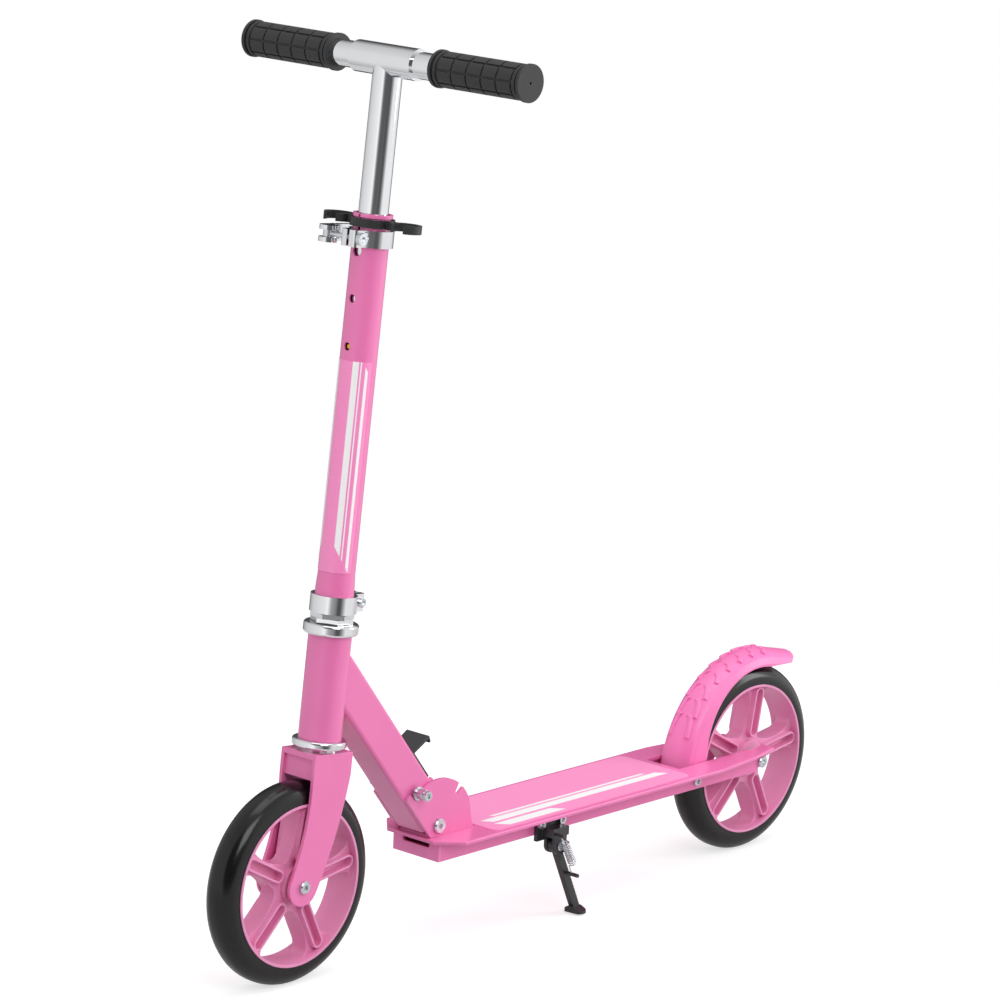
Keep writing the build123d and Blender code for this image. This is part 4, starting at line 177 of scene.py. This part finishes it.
# Soft rubber of the grips: dull, dusty skin with a fine leathery grain.
grip_rubber = coated_finish(
    "grip_rubber", tones=("#161617", "#1E1F20"), cloud_mm=20, grain_mm=0.7, grain_depth_mm=0.05,
    rough=(0.5, 0.64), edge_mm=0.8, edge_highlight_tone="#39393B",
    shader_values={"IOR": 1.52, "Sheen Weight": 0.08, "Sheen Roughness": 0.5}).finish

TYRE_RING_SPACING = 1.6 * MM  # coarser than a real mould's turning marks, so that they show
TYRE_RING_DEPTH = 0.006 * MM


def tyre_polyurethane(name, axle):
    """Cast polyurethane: smooth black with a soft shine, and faint turned rings left by the mould."""
    coat = coated_finish(
        name, tones=("#060606", "#0B0B0C"), cloud_mm=45, grain_mm=1.1, grain_depth_mm=0.006,
        rough=(0.26, 0.34), edge_mm=0.8, edge_highlight_tone="#202021",
        shader_values={"IOR": 1.5, "Specular IOR Level": 0.15, "Coat Weight": 0.52, "Coat Roughness": 0.17})
    tree = coat.tree
    spot = add(tree, "ShaderNodeMapping", {"Vector": coat.place, "Location": axle}, vector_type="TEXTURE")
    flat = add(tree, "ShaderNodeVectorMath", {0: spot.outputs[0], 1: WHEEL_PLANE}, operation="MULTIPLY")
    reach = add(tree, "ShaderNodeVectorMath", {0: flat.outputs[0]}, operation="LENGTH")
    phase = add(tree, "ShaderNodeMath", {0: reach.outputs["Value"], 1: 2 * math.pi / TYRE_RING_SPACING},
                operation="MULTIPLY")
    wave = add(tree, "ShaderNodeMath", {0: phase.outputs[0]}, operation="SINE")
    turned = add(tree, "ShaderNodeBump", {"Height": wave.outputs[0], "Distance": TYRE_RING_DEPTH,
                                          "Strength": 1.0, "Normal": coat.skin})
    tree.links.new(turned.outputs[0], coat.shader.inputs["Normal"])
    return coat.finish


front_tyre_finish = tyre_polyurethane("front_tyre_polyurethane", FRONT_AXLE)
rear_tyre_finish = tyre_polyurethane("rear_tyre_polyurethane", REAR_AXLE)

# Polished chrome plate: a bright mirror with barely seen wiping marks.
chrome = metal_finish(
    "polished_chrome", tones=("#E2E4E7", "#ECEDEF"), cloud_mm=30, mark_mm=1.5, rough=(0.04, 0.08))
# Polished aluminium of the clamps and headset: bright, a little softer than chrome.
bright_aluminium = metal_finish(
    "polished_aluminium", tones=("#D9DADD", "#E6E7E9"), cloud_mm=20, mark_mm=1.2, rough=(0.08, 0.15))
# Zinc plated steel of bolts and nuts: cool grey with cloudy crystals.
zinc_steel = metal_finish(
    "zinc_plated_steel", tones=("#C3C7CC", "#DADDE0"), cloud_mm=6, mark_mm=0.8, rough=(0.18, 0.32))
# Drawn spring wire, zinc plated: brighter and smoother than the bolts, with finer marks.
spring_wire = metal_finish(
    "zinc_spring_wire", tones=("#CDD0D4", "#E2E4E7"), cloud_mm=4, mark_mm=0.6, rough=(0.16, 0.28))
# Ground bearing steel: darker grey with an even sheen.
bearing_steel = metal_finish(
    "bearing_steel", tones=("#A9ADB2", "#C2C6CA"), cloud_mm=5, mark_mm=0.5, rough=(0.15, 0.25))
# Turned brass of the buttons: warm yellow with a soft shine.
brass = metal_finish(
    "turned_brass", tones=("#C79A3A", "#DDB75C"), cloud_mm=4, mark_mm=0.6, rough=(0.14, 0.26))


# Printed films

WHITE_INK = "#FDFBFC"
STRIPE_SOFT_MM = 0.2  # of a stripe's edge, each way
STEM_STRIPES = ((11.5, 2.9), (16.6, 0.6), (22.4, 1.5))  # mm round from the front: middle, half width
STEM_STRIPE_SLANT = 1.6  # rise of the stripes' ends over their way round
STEM_STRIPE_LIFT = 34 * MM  # centres the slanted ends on the sheet, 21 mm round from the front
STEM_STRIPE_MARGIN = 5 * MM  # bare film above and below
# mm on the deck: across, half width, along, half length
DECK_STRIPES = ((-21.5, 5.2, 33.0, 134.0), (-11.5, 1.8, 42.0, 116.0), (-37.0, 6.0, -68.0, 42.0))
DECK_STRIPE_SLANT = 0.9
GRIT_SPACING = 1.5 * MM  # coarser than real grit, so that it shows
GRIT_HEIGHT = 0.06 * MM


def stripe_band(tree, measure, middle_mm, half_mm):
    """1 within a stripe's half width of its middle line, with a soft edge."""
    apart = add(tree, "ShaderNodeMath", {0: measure, 1: middle_mm * MM}, operation="SUBTRACT")
    away = add(tree, "ShaderNodeMath", {0: apart.outputs[0]}, operation="ABSOLUTE")
    inner, outer = (half_mm - STRIPE_SOFT_MM) * MM, (half_mm + STRIPE_SOFT_MM) * MM
    band = add(tree, "ShaderNodeMapRange", {0: away.outputs[0], 1: inner, 2: outer, 3: 1.0, 4: 0.0},
               interpolation_type="SMOOTHSTEP")
    return band.outputs[0]


def joined(tree, masks):
    """One mask that is white wherever any of them is."""
    whole = masks[0]
    for mask in masks[1:]:
        whole = add(tree, "ShaderNodeMath", {0: whole, 1: mask}, operation="MAXIMUM").outputs[0]
    return whole


def print_white(coat, mask):
    """White ink on a film where the mask is white."""
    inked = add(coat.tree, "ShaderNodeMix", {0: mask, 6: coat.tone, 7: linear(WHITE_INK)}, data_type="RGBA")
    coat.tree.links.new(inked.outputs[2], coat.shader.inputs["Base Color"])


def stem_print():
    """Printed vinyl on the stem: glossy pink film with plain white stripes down both sides."""
    coat = coated_finish(
        "stem_vinyl", tones=("#FF8CC8", "#FF94CD"), cloud_mm=50, grain_mm=2.0, grain_depth_mm=0.006,
        rough=(0.26, 0.33), edge_mm=0.3, edge_highlight_tone="#FFB0DA",
        shader_values={"IOR": 1.48, "Coat Weight": 0.3, "Coat Roughness": 0.1})
    tree = coat.tree
    upright = add(tree, "ShaderNodeMapping", {"Vector": coat.place, "Location": COLUMN_FOOT,
                                              "Rotation": (0.0, RAKE, 0.0)}, vector_type="TEXTURE")
    parts = add(tree, "ShaderNodeSeparateXYZ", {0: upright.outputs[0]})
    ahead = add(tree, "ShaderNodeMath", {0: parts.outputs[0], 1: -1.0}, operation="MULTIPLY")
    angle = add(tree, "ShaderNodeMath", {0: parts.outputs[1], 1: ahead.outputs[0]}, operation="ARCTAN2")
    arc = add(tree, "ShaderNodeMath", {0: angle.outputs[0], 1: STEM_RADIUS}, operation="MULTIPLY")
    side = add(tree, "ShaderNodeMath", {0: arc.outputs[0]}, operation="ABSOLUTE").outputs[0]
    stripes = joined(tree, [stripe_band(tree, side, middle, half) for middle, half in STEM_STRIPES])
    slant = add(tree, "ShaderNodeMath", {0: side, 1: STEM_STRIPE_SLANT, 2: parts.outputs[2]},
                operation="MULTIPLY_ADD")
    middle = (STEM_SHEET_LOW + STEM_SHEET_HIGH) / 2 + STEM_STRIPE_LIFT
    reach = (STEM_SHEET_HIGH - STEM_SHEET_LOW) / 2 - STEM_STRIPE_MARGIN
    ends = add(tree, "ShaderNodeMath", {0: slant.outputs[0], 1: middle, 2: reach}, operation="COMPARE")
    shown = add(tree, "ShaderNodeMath", {0: stripes, 1: ends.outputs[0]}, operation="MULTIPLY")
    print_white(coat, shown.outputs[0])
    return coat.finish


def deck_print():
    """Printed grip film on the deck: pink with plain white stripes on its left half and a fine grit."""
    coat = coated_finish(
        "deck_grip_film", tones=("#FF96CB", "#FF9ED0"), cloud_mm=70, grain_mm=1.3, grain_depth_mm=0.03,
        rough=(0.40, 0.50), edge_mm=0.4, edge_highlight_tone="#FFB0DA", shader_values={"IOR": 1.48})
    tree = coat.tree
    parts = add(tree, "ShaderNodeSeparateXYZ", {0: coat.place})
    slant = add(tree, "ShaderNodeMath", {0: parts.outputs[1], 1: DECK_STRIPE_SLANT, 2: parts.outputs[0]},
                operation="MULTIPLY_ADD")
    stripes = []
    for across, half_width, along, half_length in DECK_STRIPES:
        band = stripe_band(tree, parts.outputs[1], across, half_width)
        ends = add(tree, "ShaderNodeMath", {0: slant.outputs[0], 1: along * MM, 2: half_length * MM},
                   operation="COMPARE")
        stripe = add(tree, "ShaderNodeMath", {0: band, 1: ends.outputs[0]}, operation="MULTIPLY")
        stripes.append(stripe.outputs[0])
    print_white(coat, joined(tree, stripes))
    grit = add(tree, "ShaderNodeTexVoronoi", {"Vector": coat.place, "Scale": 1 / GRIT_SPACING})
    raised = add(tree, "ShaderNodeBump", {"Height": grit.outputs["Distance"], "Distance": GRIT_HEIGHT,
                                          "Strength": 1.0, "Normal": coat.skin}, invert=True)
    tree.links.new(raised.outputs[0], coat.shader.inputs["Normal"])
    return coat.finish


FINISHES = {
    powder_coat: "deck fold_bracket front_frame fork stem_tube",
    cast_coat: "deck_front_cap",
    fender_nylon: "brake_fender",
    rim_nylon: "front_rim rear_rim",
    front_tyre_finish: "front_tyre",
    rear_tyre_finish: "rear_tyre",
    chrome: "t_bar left_bar_tube right_bar_tube",
    bright_aluminium: "headset_lower_cup headset_upper_cup headset_adjusting_nut headset_lock_nut "
                      "height_clamp clamp_lever lower_clamp crown_race",
    zinc_steel: "bracket_screws fold_pivot_bolt kickstand_screws kickstand_pivot_pin rear_axle "
                "rear_axle_spacers front_axle front_axle_spacers brake_pivot_bolt brake_pivot_spacers "
                "lock_pin lower_clamp_bolt height_clamp_bolt lever_pin front_hub_spacer rear_hub_spacer",
    spring_wire: "lock_spring kickstand_spring brake_spring",
    bearing_steel: "headset_bearings front_bearings rear_bearings",
    black_steel: "release_lever kickstand_bracket kickstand_leg",
    black_nylon: "grip_clip stem_bush t_bar_guide stem_shim",
    grip_rubber: "left_grip right_grip",
    brass: "height_button left_bar_button right_bar_button",
    stem_print(): "stem_sheet",
    deck_print(): "deck_sheet",
}
for finish, names in FINISHES.items():
    for name in names.split():
        for slot in nodes[name].material_slots:
            slot.material = finish


# Fender pads
# Eight hooked pads on each half of the crown: a short arm beside the ridge that bends into a leg, which
# runs down towards the deck at the front and nearly straight across at the top.

PAD_COUNT = 8
PAD_WIDTH, PAD_HEIGHT = 5.8 * MM, 4.2 * MM  # half of the height is sunk in the fender
PAD_FIRST, PAD_STEP = 147.5, 9.6  # degrees about the rear axle
PAD_LEG, PAD_LEG_LOSS, PAD_LEG_LEAST = 11.5, 2.2, 3.6  # degrees: first leg, loss to the next, shortest
PAD_BEND_LEAD, PAD_BEND_SHARE = 1.6, 0.15  # degrees of the bend past the arm, and a share of the leg
PAD_ARM_OUT, PAD_BEND_OUT, PAD_LEG_OUT = 4.6, 8.8, 11.0  # mm from the ridge
PAD_ARM_SHIFT, PAD_LEG_SHIFT = -0.2, 0.4  # mm from the ridge, more for each next pad
PAD_PATH_POINTS = 13
PAD_RINGS = 28  # rings swept along a path
PAD_RING_POINTS = 16
PAD_END_POWER = 8.0  # how late a pad's ends round off
PAD_TIP_SHARE = 0.05  # of the width left at a pad's tip


def modifier_input(tree, modifier, name, value):
    """Sets a modifier's input by the identifier of the socket with that name."""
    for item in tree.interface.items_tree:
        if item.item_type == "SOCKET" and item.in_out == "INPUT" and item.name == name:
            modifier[item.identifier] = value


def settled(name, curve, tree, values, body):
    """Runs a tree on a curve, keeps the result as a plain mesh and puts it on its body."""
    draft = bpy.data.objects.new(name + "_path", curve)
    scene.collection.objects.link(draft)
    modifier = draft.modifiers.new(name, "NODES")
    modifier.node_group = tree
    for key, value in values.items():
        modifier_input(tree, modifier, key, value)
    depsgraph = bpy.context.evaluated_depsgraph_get()
    mesh = bpy.data.meshes.new_from_object(draft.evaluated_get(depsgraph), depsgraph=depsgraph)
    bpy.data.objects.remove(draft)
    piece = bpy.data.objects.new(name, mesh)
    scene.collection.objects.link(piece)
    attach(piece, body)


def path_curve(name, paths):
    """A curve of straight-sided splines through the given points."""
    curve = bpy.data.curves.new(name, "CURVE")
    curve.dimensions = "3D"
    for points in paths:
        spline = curve.splines.new("POLY")
        spline.points.add(len(points) - 1)
        for spot, point in zip(spline.points, points):
            spot.co = (*point, 1.0)
    return curve


def new_tree(name, inputs):
    """A geometry tree with named inputs."""
    tree = bpy.data.node_groups.new(name, "GeometryNodeTree")
    tree.interface.new_socket("Geometry", in_out="INPUT", socket_type="NodeSocketGeometry")
    for label, kind in inputs:
        tree.interface.new_socket(label, in_out="INPUT", socket_type=kind)
    tree.interface.new_socket("Geometry", in_out="OUTPUT", socket_type="NodeSocketGeometry")
    return tree, add(tree, "NodeGroupInput").outputs


def pad_tree():
    """Oval pads swept along their paths, square to the fender's dome, with rounded ends."""
    tree, given = new_tree("fender_pads", (("Width", "NodeSocketFloat"), ("Height", "NodeSocketFloat"),
                                           ("Dome Radius", "NodeSocketFloat"), ("Axle", "NodeSocketVector"),
                                           ("Material", "NodeSocketMaterial")))
    even = add(tree, "GeometryNodeResampleCurve", {0: given["Geometry"], "Count": PAD_RINGS})
    spot = add(tree, "GeometryNodeInputPosition")
    away = add(tree, "ShaderNodeVectorMath", {0: spot.outputs[0], 1: given["Axle"]}, operation="SUBTRACT")
    flat = add(tree, "ShaderNodeVectorMath", {0: away.outputs[0], 1: WHEEL_PLANE}, operation="MULTIPLY")
    out = add(tree, "ShaderNodeVectorMath", {0: flat.outputs[0]}, operation="NORMALIZE")
    parts = add(tree, "ShaderNodeSeparateXYZ", {0: away.outputs[0]})
    lean = add(tree, "ShaderNodeMath", {0: parts.outputs[1], 1: given["Dome Radius"]}, operation="DIVIDE")
    sideways = add(tree, "ShaderNodeCombineXYZ", {1: lean.outputs[0]})
    tilted = add(tree, "ShaderNodeVectorMath", {0: out.outputs[0], 1: sideways.outputs[0]}, operation="ADD")
    faced = add(tree, "GeometryNodeSetCurveNormal", {"Curve": even.outputs[0], "Normal": tilted.outputs[0]},
                mode="FREE")
    along = add(tree, "GeometryNodeSplineParameter")
    centred = add(tree, "ShaderNodeMath", {0: along.outputs["Factor"], 1: 2.0, 2: -1.0},
                  operation="MULTIPLY_ADD")
    steep = add(tree, "ShaderNodeMath", {0: centred.outputs[0], 1: PAD_END_POWER}, operation="POWER")
    left = add(tree, "ShaderNodeMath", {0: 1.0, 1: steep.outputs[0]}, operation="SUBTRACT")
    round_end = add(tree, "ShaderNodeMath", {0: left.outputs[0], 1: 0.5}, operation="POWER")
    fat = add(tree, "ShaderNodeMath", {0: round_end.outputs[0], 1: PAD_TIP_SHARE}, operation="MAXIMUM")
    tapered = add(tree, "GeometryNodeSetCurveRadius", {"Curve": faced.outputs[0], "Radius": fat.outputs[0]})
    ring = add(tree, "GeometryNodeCurvePrimitiveCircle", {"Resolution": PAD_RING_POINTS, "Radius": 0.5})
    size = add(tree, "ShaderNodeCombineXYZ", {0: given["Height"], 1: given["Width"], 2: 1.0})
    oval = add(tree, "GeometryNodeTransform", {"Geometry": ring.outputs[0], "Scale": size.outputs[0]})
    swept = add(tree, "GeometryNodeCurveToMesh",
                {"Curve": tapered.outputs[0], "Profile Curve": oval.outputs[0], "Fill Caps": True})
    whole = add(tree, "GeometryNodeRealizeInstances", {0: swept.outputs[0]})
    smooth = add(tree, "GeometryNodeSetShadeSmooth", {0: whole.outputs[0]})
    painted = add(tree, "GeometryNodeSetMaterial", {"Geometry": smooth.outputs[0],
                                                    "Material": given["Material"]})
    add(tree, "NodeGroupOutput", {0: painted.outputs[0]})
    return tree


def ridge_arcs():
    """Centres and radii of the two arcs of the fender's ridge, in the wheel's plane from the rear axle."""
    base, waist, shoulder, root = (
        Vector((math.cos(math.radians(angle)), math.sin(math.radians(angle)))) * (TYRE_RADIUS + over * MM)
        for angle, over in (FENDER_BASE, FENDER_WAIST, FENDER_SHOULDER, FENDER_TAIL_ROOT))
    low, high = waist - base, shoulder - base
    twist = 2 * (low.x * high.y - low.y * high.x)
    front_centre = base + Vector((high.y * low.length_squared - low.y * high.length_squared,
                                  low.x * high.length_squared - high.x * low.length_squared)) / twist
    front_radius = (base - front_centre).length
    inward = (front_centre - shoulder).normalized()
    span = root - shoulder
    top_radius = span.length_squared / (2 * span.dot(inward))
    return (front_centre, front_radius), (shoulder + inward * top_radius, top_radius)


def fender_spot(angle, y, arcs):
    """Point on the fender's dome at an angle about the rear axle and a place across it."""
    centre, radius = arcs[0] if angle > math.radians(FENDER_SHOULDER[0]) else arcs[1]
    way = Vector((math.cos(angle), math.sin(angle)))
    reach = centre.dot(way)
    ridge = way * (reach + math.sqrt(radius ** 2 - centre.length_squared + reach ** 2))
    drop = FENDER_BOW - math.sqrt(FENDER_BOW ** 2 - y ** 2)
    spot = ridge - (ridge - centre).normalized() * drop
    return REAR_AXLE + Vector((spot.x, y, spot.y))


def pad_path(index, side, arcs):
    """One pad's path: a curve from its arm beside the ridge, round its bend, to the end of its leg."""
    start = PAD_FIRST - PAD_STEP * index
    leg = max(PAD_LEG - PAD_LEG_LOSS * index, PAD_LEG_LEAST)
    angles = start, start - PAD_BEND_LEAD - PAD_BEND_SHARE * leg, start + leg
    outs = PAD_ARM_OUT + PAD_ARM_SHIFT * index, PAD_BEND_OUT, PAD_LEG_OUT + PAD_LEG_SHIFT * index
    path = []
    for step in range(PAD_PATH_POINTS):
        share = step / (PAD_PATH_POINTS - 1)
        weights = (1 - share) ** 2, 2 * share * (1 - share), share ** 2
        angle = sum(weight * corner for weight, corner in zip(weights, angles))
        out = sum(weight * corner for weight, corner in zip(weights, outs))
        path.append(fender_spot(math.radians(angle), side * out * MM, arcs))
    return path


arcs = ridge_arcs()
pad_paths = [pad_path(index, side, arcs) for index in range(PAD_COUNT) for side in (-1, 1)]
settled("fender_pads", path_curve("fender_pads", pad_paths), pad_tree(),
        {"Width": PAD_WIDTH, "Height": PAD_HEIGHT, "Dome Radius": FENDER_BOW, "Axle": REAR_AXLE,
         "Material": fender_nylon}, "brake")


# Studio: pale floor, white surroundings and soft lamps

WHITE = "#FFFFFF"
FLOOR_TONE = "#C8C8C8"
FLOOR_RADIUS = 1.1
FLOOR_SIDES = 96
FLOOR_GLOW = 0.62  # seen by the camera, so that the lit floor comes out white
FLOOR_GLOW_IN_METAL = 0.25  # share of the glow that metal shows
# Soft panels round the object: degrees from +X, strength
PANELS = ((-180, 1.0), (-155, 1.3), (-140, 1.3), (-126, 0.4), (-116, 0.05), (-101, 0.05), (-88, 0.4),
          (-74, 1.0), (-10, 1.0), (8, 0.6), (20, 0.03), (62, 0.03), (80, 0.45), (110, 0.75), (180, 1.0))
CEILING_LEVEL = 0.70
CEILING_FROM, CEILING_FULL = 0.45, 0.85  # height of a direction where the panels give way to the ceiling
BELOW_SHARE = 0.4
BELOW_FULL, BELOW_FROM = -0.9, -0.35  # height of a direction where the light dims
OPEN_SIDE = Vector((-0.70, -0.62, 0.36))
OPEN_SHARE = 0.06
OPEN_FROM, OPEN_FULL = 0.80, 0.93  # closeness to the open side where it darkens
WHITE_IN_METAL = 0.06  # share of the white background that metal shows


def studio_floor():
    """A pale disc that catches the shadow and looks white."""
    mesh = bpy.data.meshes.new("floor")
    turns = [2 * math.pi * index / FLOOR_SIDES for index in range(FLOOR_SIDES)]
    rim = [(FLOOR_RADIUS * math.cos(turn), FLOOR_RADIUS * math.sin(turn), 0.0) for turn in turns]
    mesh.from_pydata(rim, [], [tuple(range(FLOOR_SIDES))])
    floor = bpy.data.objects.new("floor", mesh)
    scene.collection.objects.link(floor)
    finish = bpy.data.materials.new("pale_floor")
    finish.use_nodes = True
    tree = finish.node_tree
    tree.nodes.clear()
    matt = add(tree, "ShaderNodeBsdfDiffuse", {"Color": linear(FLOOR_TONE)})
    glow = add(tree, "ShaderNodeEmission", {"Color": linear(WHITE), "Strength": FLOOR_GLOW})
    ray = add(tree, "ShaderNodeLightPath")
    seen = add(tree, "ShaderNodeMath", {0: ray.outputs["Is Glossy Ray"], 1: FLOOR_GLOW_IN_METAL,
                                        2: ray.outputs["Is Camera Ray"]}, operation="MULTIPLY_ADD")
    dark = add(tree, "ShaderNodeEmission", {"Strength": 0.0})
    lift = add(tree, "ShaderNodeMixShader", {0: seen.outputs[0], 1: dark.outputs[0], 2: glow.outputs[0]})
    both = add(tree, "ShaderNodeAddShader", {0: matt.outputs[0], 1: lift.outputs[0]})
    add(tree, "ShaderNodeOutputMaterial", {"Surface": both.outputs[0]})
    mesh.materials.append(finish)


def studio_world():
    """White to the camera; round the object soft panels with dark gaps, a dark open side at
    the front left, and dimmer light from underneath."""
    world = bpy.data.worlds.new("studio")
    scene.world = world
    world.use_nodes = True
    tree = world.node_tree
    tree.nodes.clear()
    way = add(tree, "ShaderNodeTexCoord").outputs["Generated"]
    parts = add(tree, "ShaderNodeSeparateXYZ", {0: way})
    round_angle = add(tree, "ShaderNodeMath", {0: parts.outputs[1], 1: parts.outputs[0]}, operation="ARCTAN2")
    turn = add(tree, "ShaderNodeMapRange", {0: round_angle.outputs[0], 1: -math.pi, 2: math.pi})
    ring = add(tree, "ShaderNodeFloatCurve", {"Value": turn.outputs[0]})
    line = ring.mapping.curves[0]
    line.points[0].location = (0.0, PANELS[0][1])
    line.points[1].location = (1.0, PANELS[-1][1])
    for angle, strength in PANELS[1:-1]:
        line.points.new((angle + 180) / 360, strength)
    for point in line.points:
        point.handle_type = "VECTOR"
    ring.mapping.update()
    high = add(tree, "ShaderNodeMapRange", {0: parts.outputs[2], 1: CEILING_FROM, 2: CEILING_FULL,
                                            3: 0.0, 4: 1.0})
    dome = add(tree, "ShaderNodeMix", {0: high.outputs[0], 2: ring.outputs[0], 3: CEILING_LEVEL},
               data_type="FLOAT")
    low = add(tree, "ShaderNodeMapRange", {0: parts.outputs[2], 1: BELOW_FULL, 2: BELOW_FROM,
                                           3: BELOW_SHARE, 4: 1.0})
    lit = add(tree, "ShaderNodeMath", {0: dome.outputs[0], 1: low.outputs[0]}, operation="MULTIPLY")
    ahead = add(tree, "ShaderNodeVectorMath", {0: way, 1: OPEN_SIDE}, operation="DOT_PRODUCT")
    shade = add(tree, "ShaderNodeMapRange", {0: ahead.outputs["Value"], 1: OPEN_FROM, 2: OPEN_FULL,
                                             3: 1.0, 4: OPEN_SHARE}, interpolation_type="SMOOTHSTEP")
    level = add(tree, "ShaderNodeMath", {0: lit.outputs[0], 1: shade.outputs[0]}, operation="MULTIPLY")
    soft = add(tree, "ShaderNodeBackground", {"Color": linear(WHITE), "Strength": level.outputs[0]})
    white = add(tree, "ShaderNodeBackground", {"Color": linear(WHITE), "Strength": 1.0})
    ray = add(tree, "ShaderNodeLightPath")
    glossy = add(tree, "ShaderNodeMath", {0: ray.outputs["Is Glossy Ray"], 1: WHITE_IN_METAL},
                 operation="MULTIPLY")
    clear = add(tree, "ShaderNodeMath", {0: ray.outputs["Is Camera Ray"],
                                         1: ray.outputs["Is Transmission Ray"]}, operation="MAXIMUM")
    seen = add(tree, "ShaderNodeMath", {0: glossy.outputs[0], 1: clear.outputs[0]}, operation="MAXIMUM")
    both = add(tree, "ShaderNodeMixShader", {0: seen.outputs[0], 1: soft.outputs[0], 2: white.outputs[0]})
    add(tree, "ShaderNodeOutputWorld", {"Surface": both.outputs[0]})


def soft_lamp(name, *, spot, aim, size, watts):
    """A soft box that faces the object."""
    lamp = bpy.data.lights.new(name, "AREA")
    lamp.shape = "RECTANGLE"
    lamp.size, lamp.size_y = size
    lamp.energy = watts
    stand = bpy.data.objects.new(name, lamp)
    stand.location = spot
    stand.rotation_mode = "QUATERNION"
    stand.rotation_quaternion = (Vector(aim) - Vector(spot)).to_track_quat("-Z", "Y")
    scene.collection.objects.link(stand)


studio_floor()
studio_world()
soft_lamp("key_lamp", spot=(-1.3, -3.0, 2.3), aim=(0.0, 0.0, 0.4), size=(1.8, 1.8), watts=47)
soft_lamp("top_lamp", spot=(0.1, -0.3, 3.2), aim=(0.0, 0.0, 0.3), size=(2.2, 2.2), watts=29)
soft_lamp("strip_lamp", spot=(2.3, -1.75, 1.15), aim=(0.0, 0.0, 0.25), size=(0.8, 1.7), watts=21)

# Camera at the photograph's place
CAMERA_LENS, CAMERA_SENSOR = 168.3, 36.0  # mm
CAMERA_AZIMUTH = math.radians(-48.5127)
CAMERA_ELEVATION = math.radians(12.88)
CAMERA_ROLL = math.radians(2.54)
CAMERA_AIM = Vector((-0.05906, 0.00006, 0.43415))
CAMERA_DISTANCE = 4.59112
CAMERA_CLIP = 60.0

view = bpy.data.cameras.new("camera")
view.lens = CAMERA_LENS
view.sensor_width = CAMERA_SENSOR
view.clip_end = CAMERA_CLIP
camera = bpy.data.objects.new("camera", view)
scene.collection.objects.link(camera)
back = Vector((math.sin(CAMERA_AZIMUTH) * math.cos(CAMERA_ELEVATION),
               -math.cos(CAMERA_AZIMUTH) * math.cos(CAMERA_ELEVATION), math.sin(CAMERA_ELEVATION)))
right = Vector((math.cos(CAMERA_AZIMUTH), math.sin(CAMERA_AZIMUTH), 0.0))
up = back.cross(right)
turned_right = right * math.cos(CAMERA_ROLL) + up * math.sin(CAMERA_ROLL)
turned_up = up * math.cos(CAMERA_ROLL) - right * math.sin(CAMERA_ROLL)
camera_turn = Matrix((turned_right, turned_up, back)).transposed().to_4x4()
camera.matrix_world = Matrix.Translation(CAMERA_AIM + back * CAMERA_DISTANCE) @ camera_turn
scene.camera = camera
scene.view_settings.view_transform = "Standard"
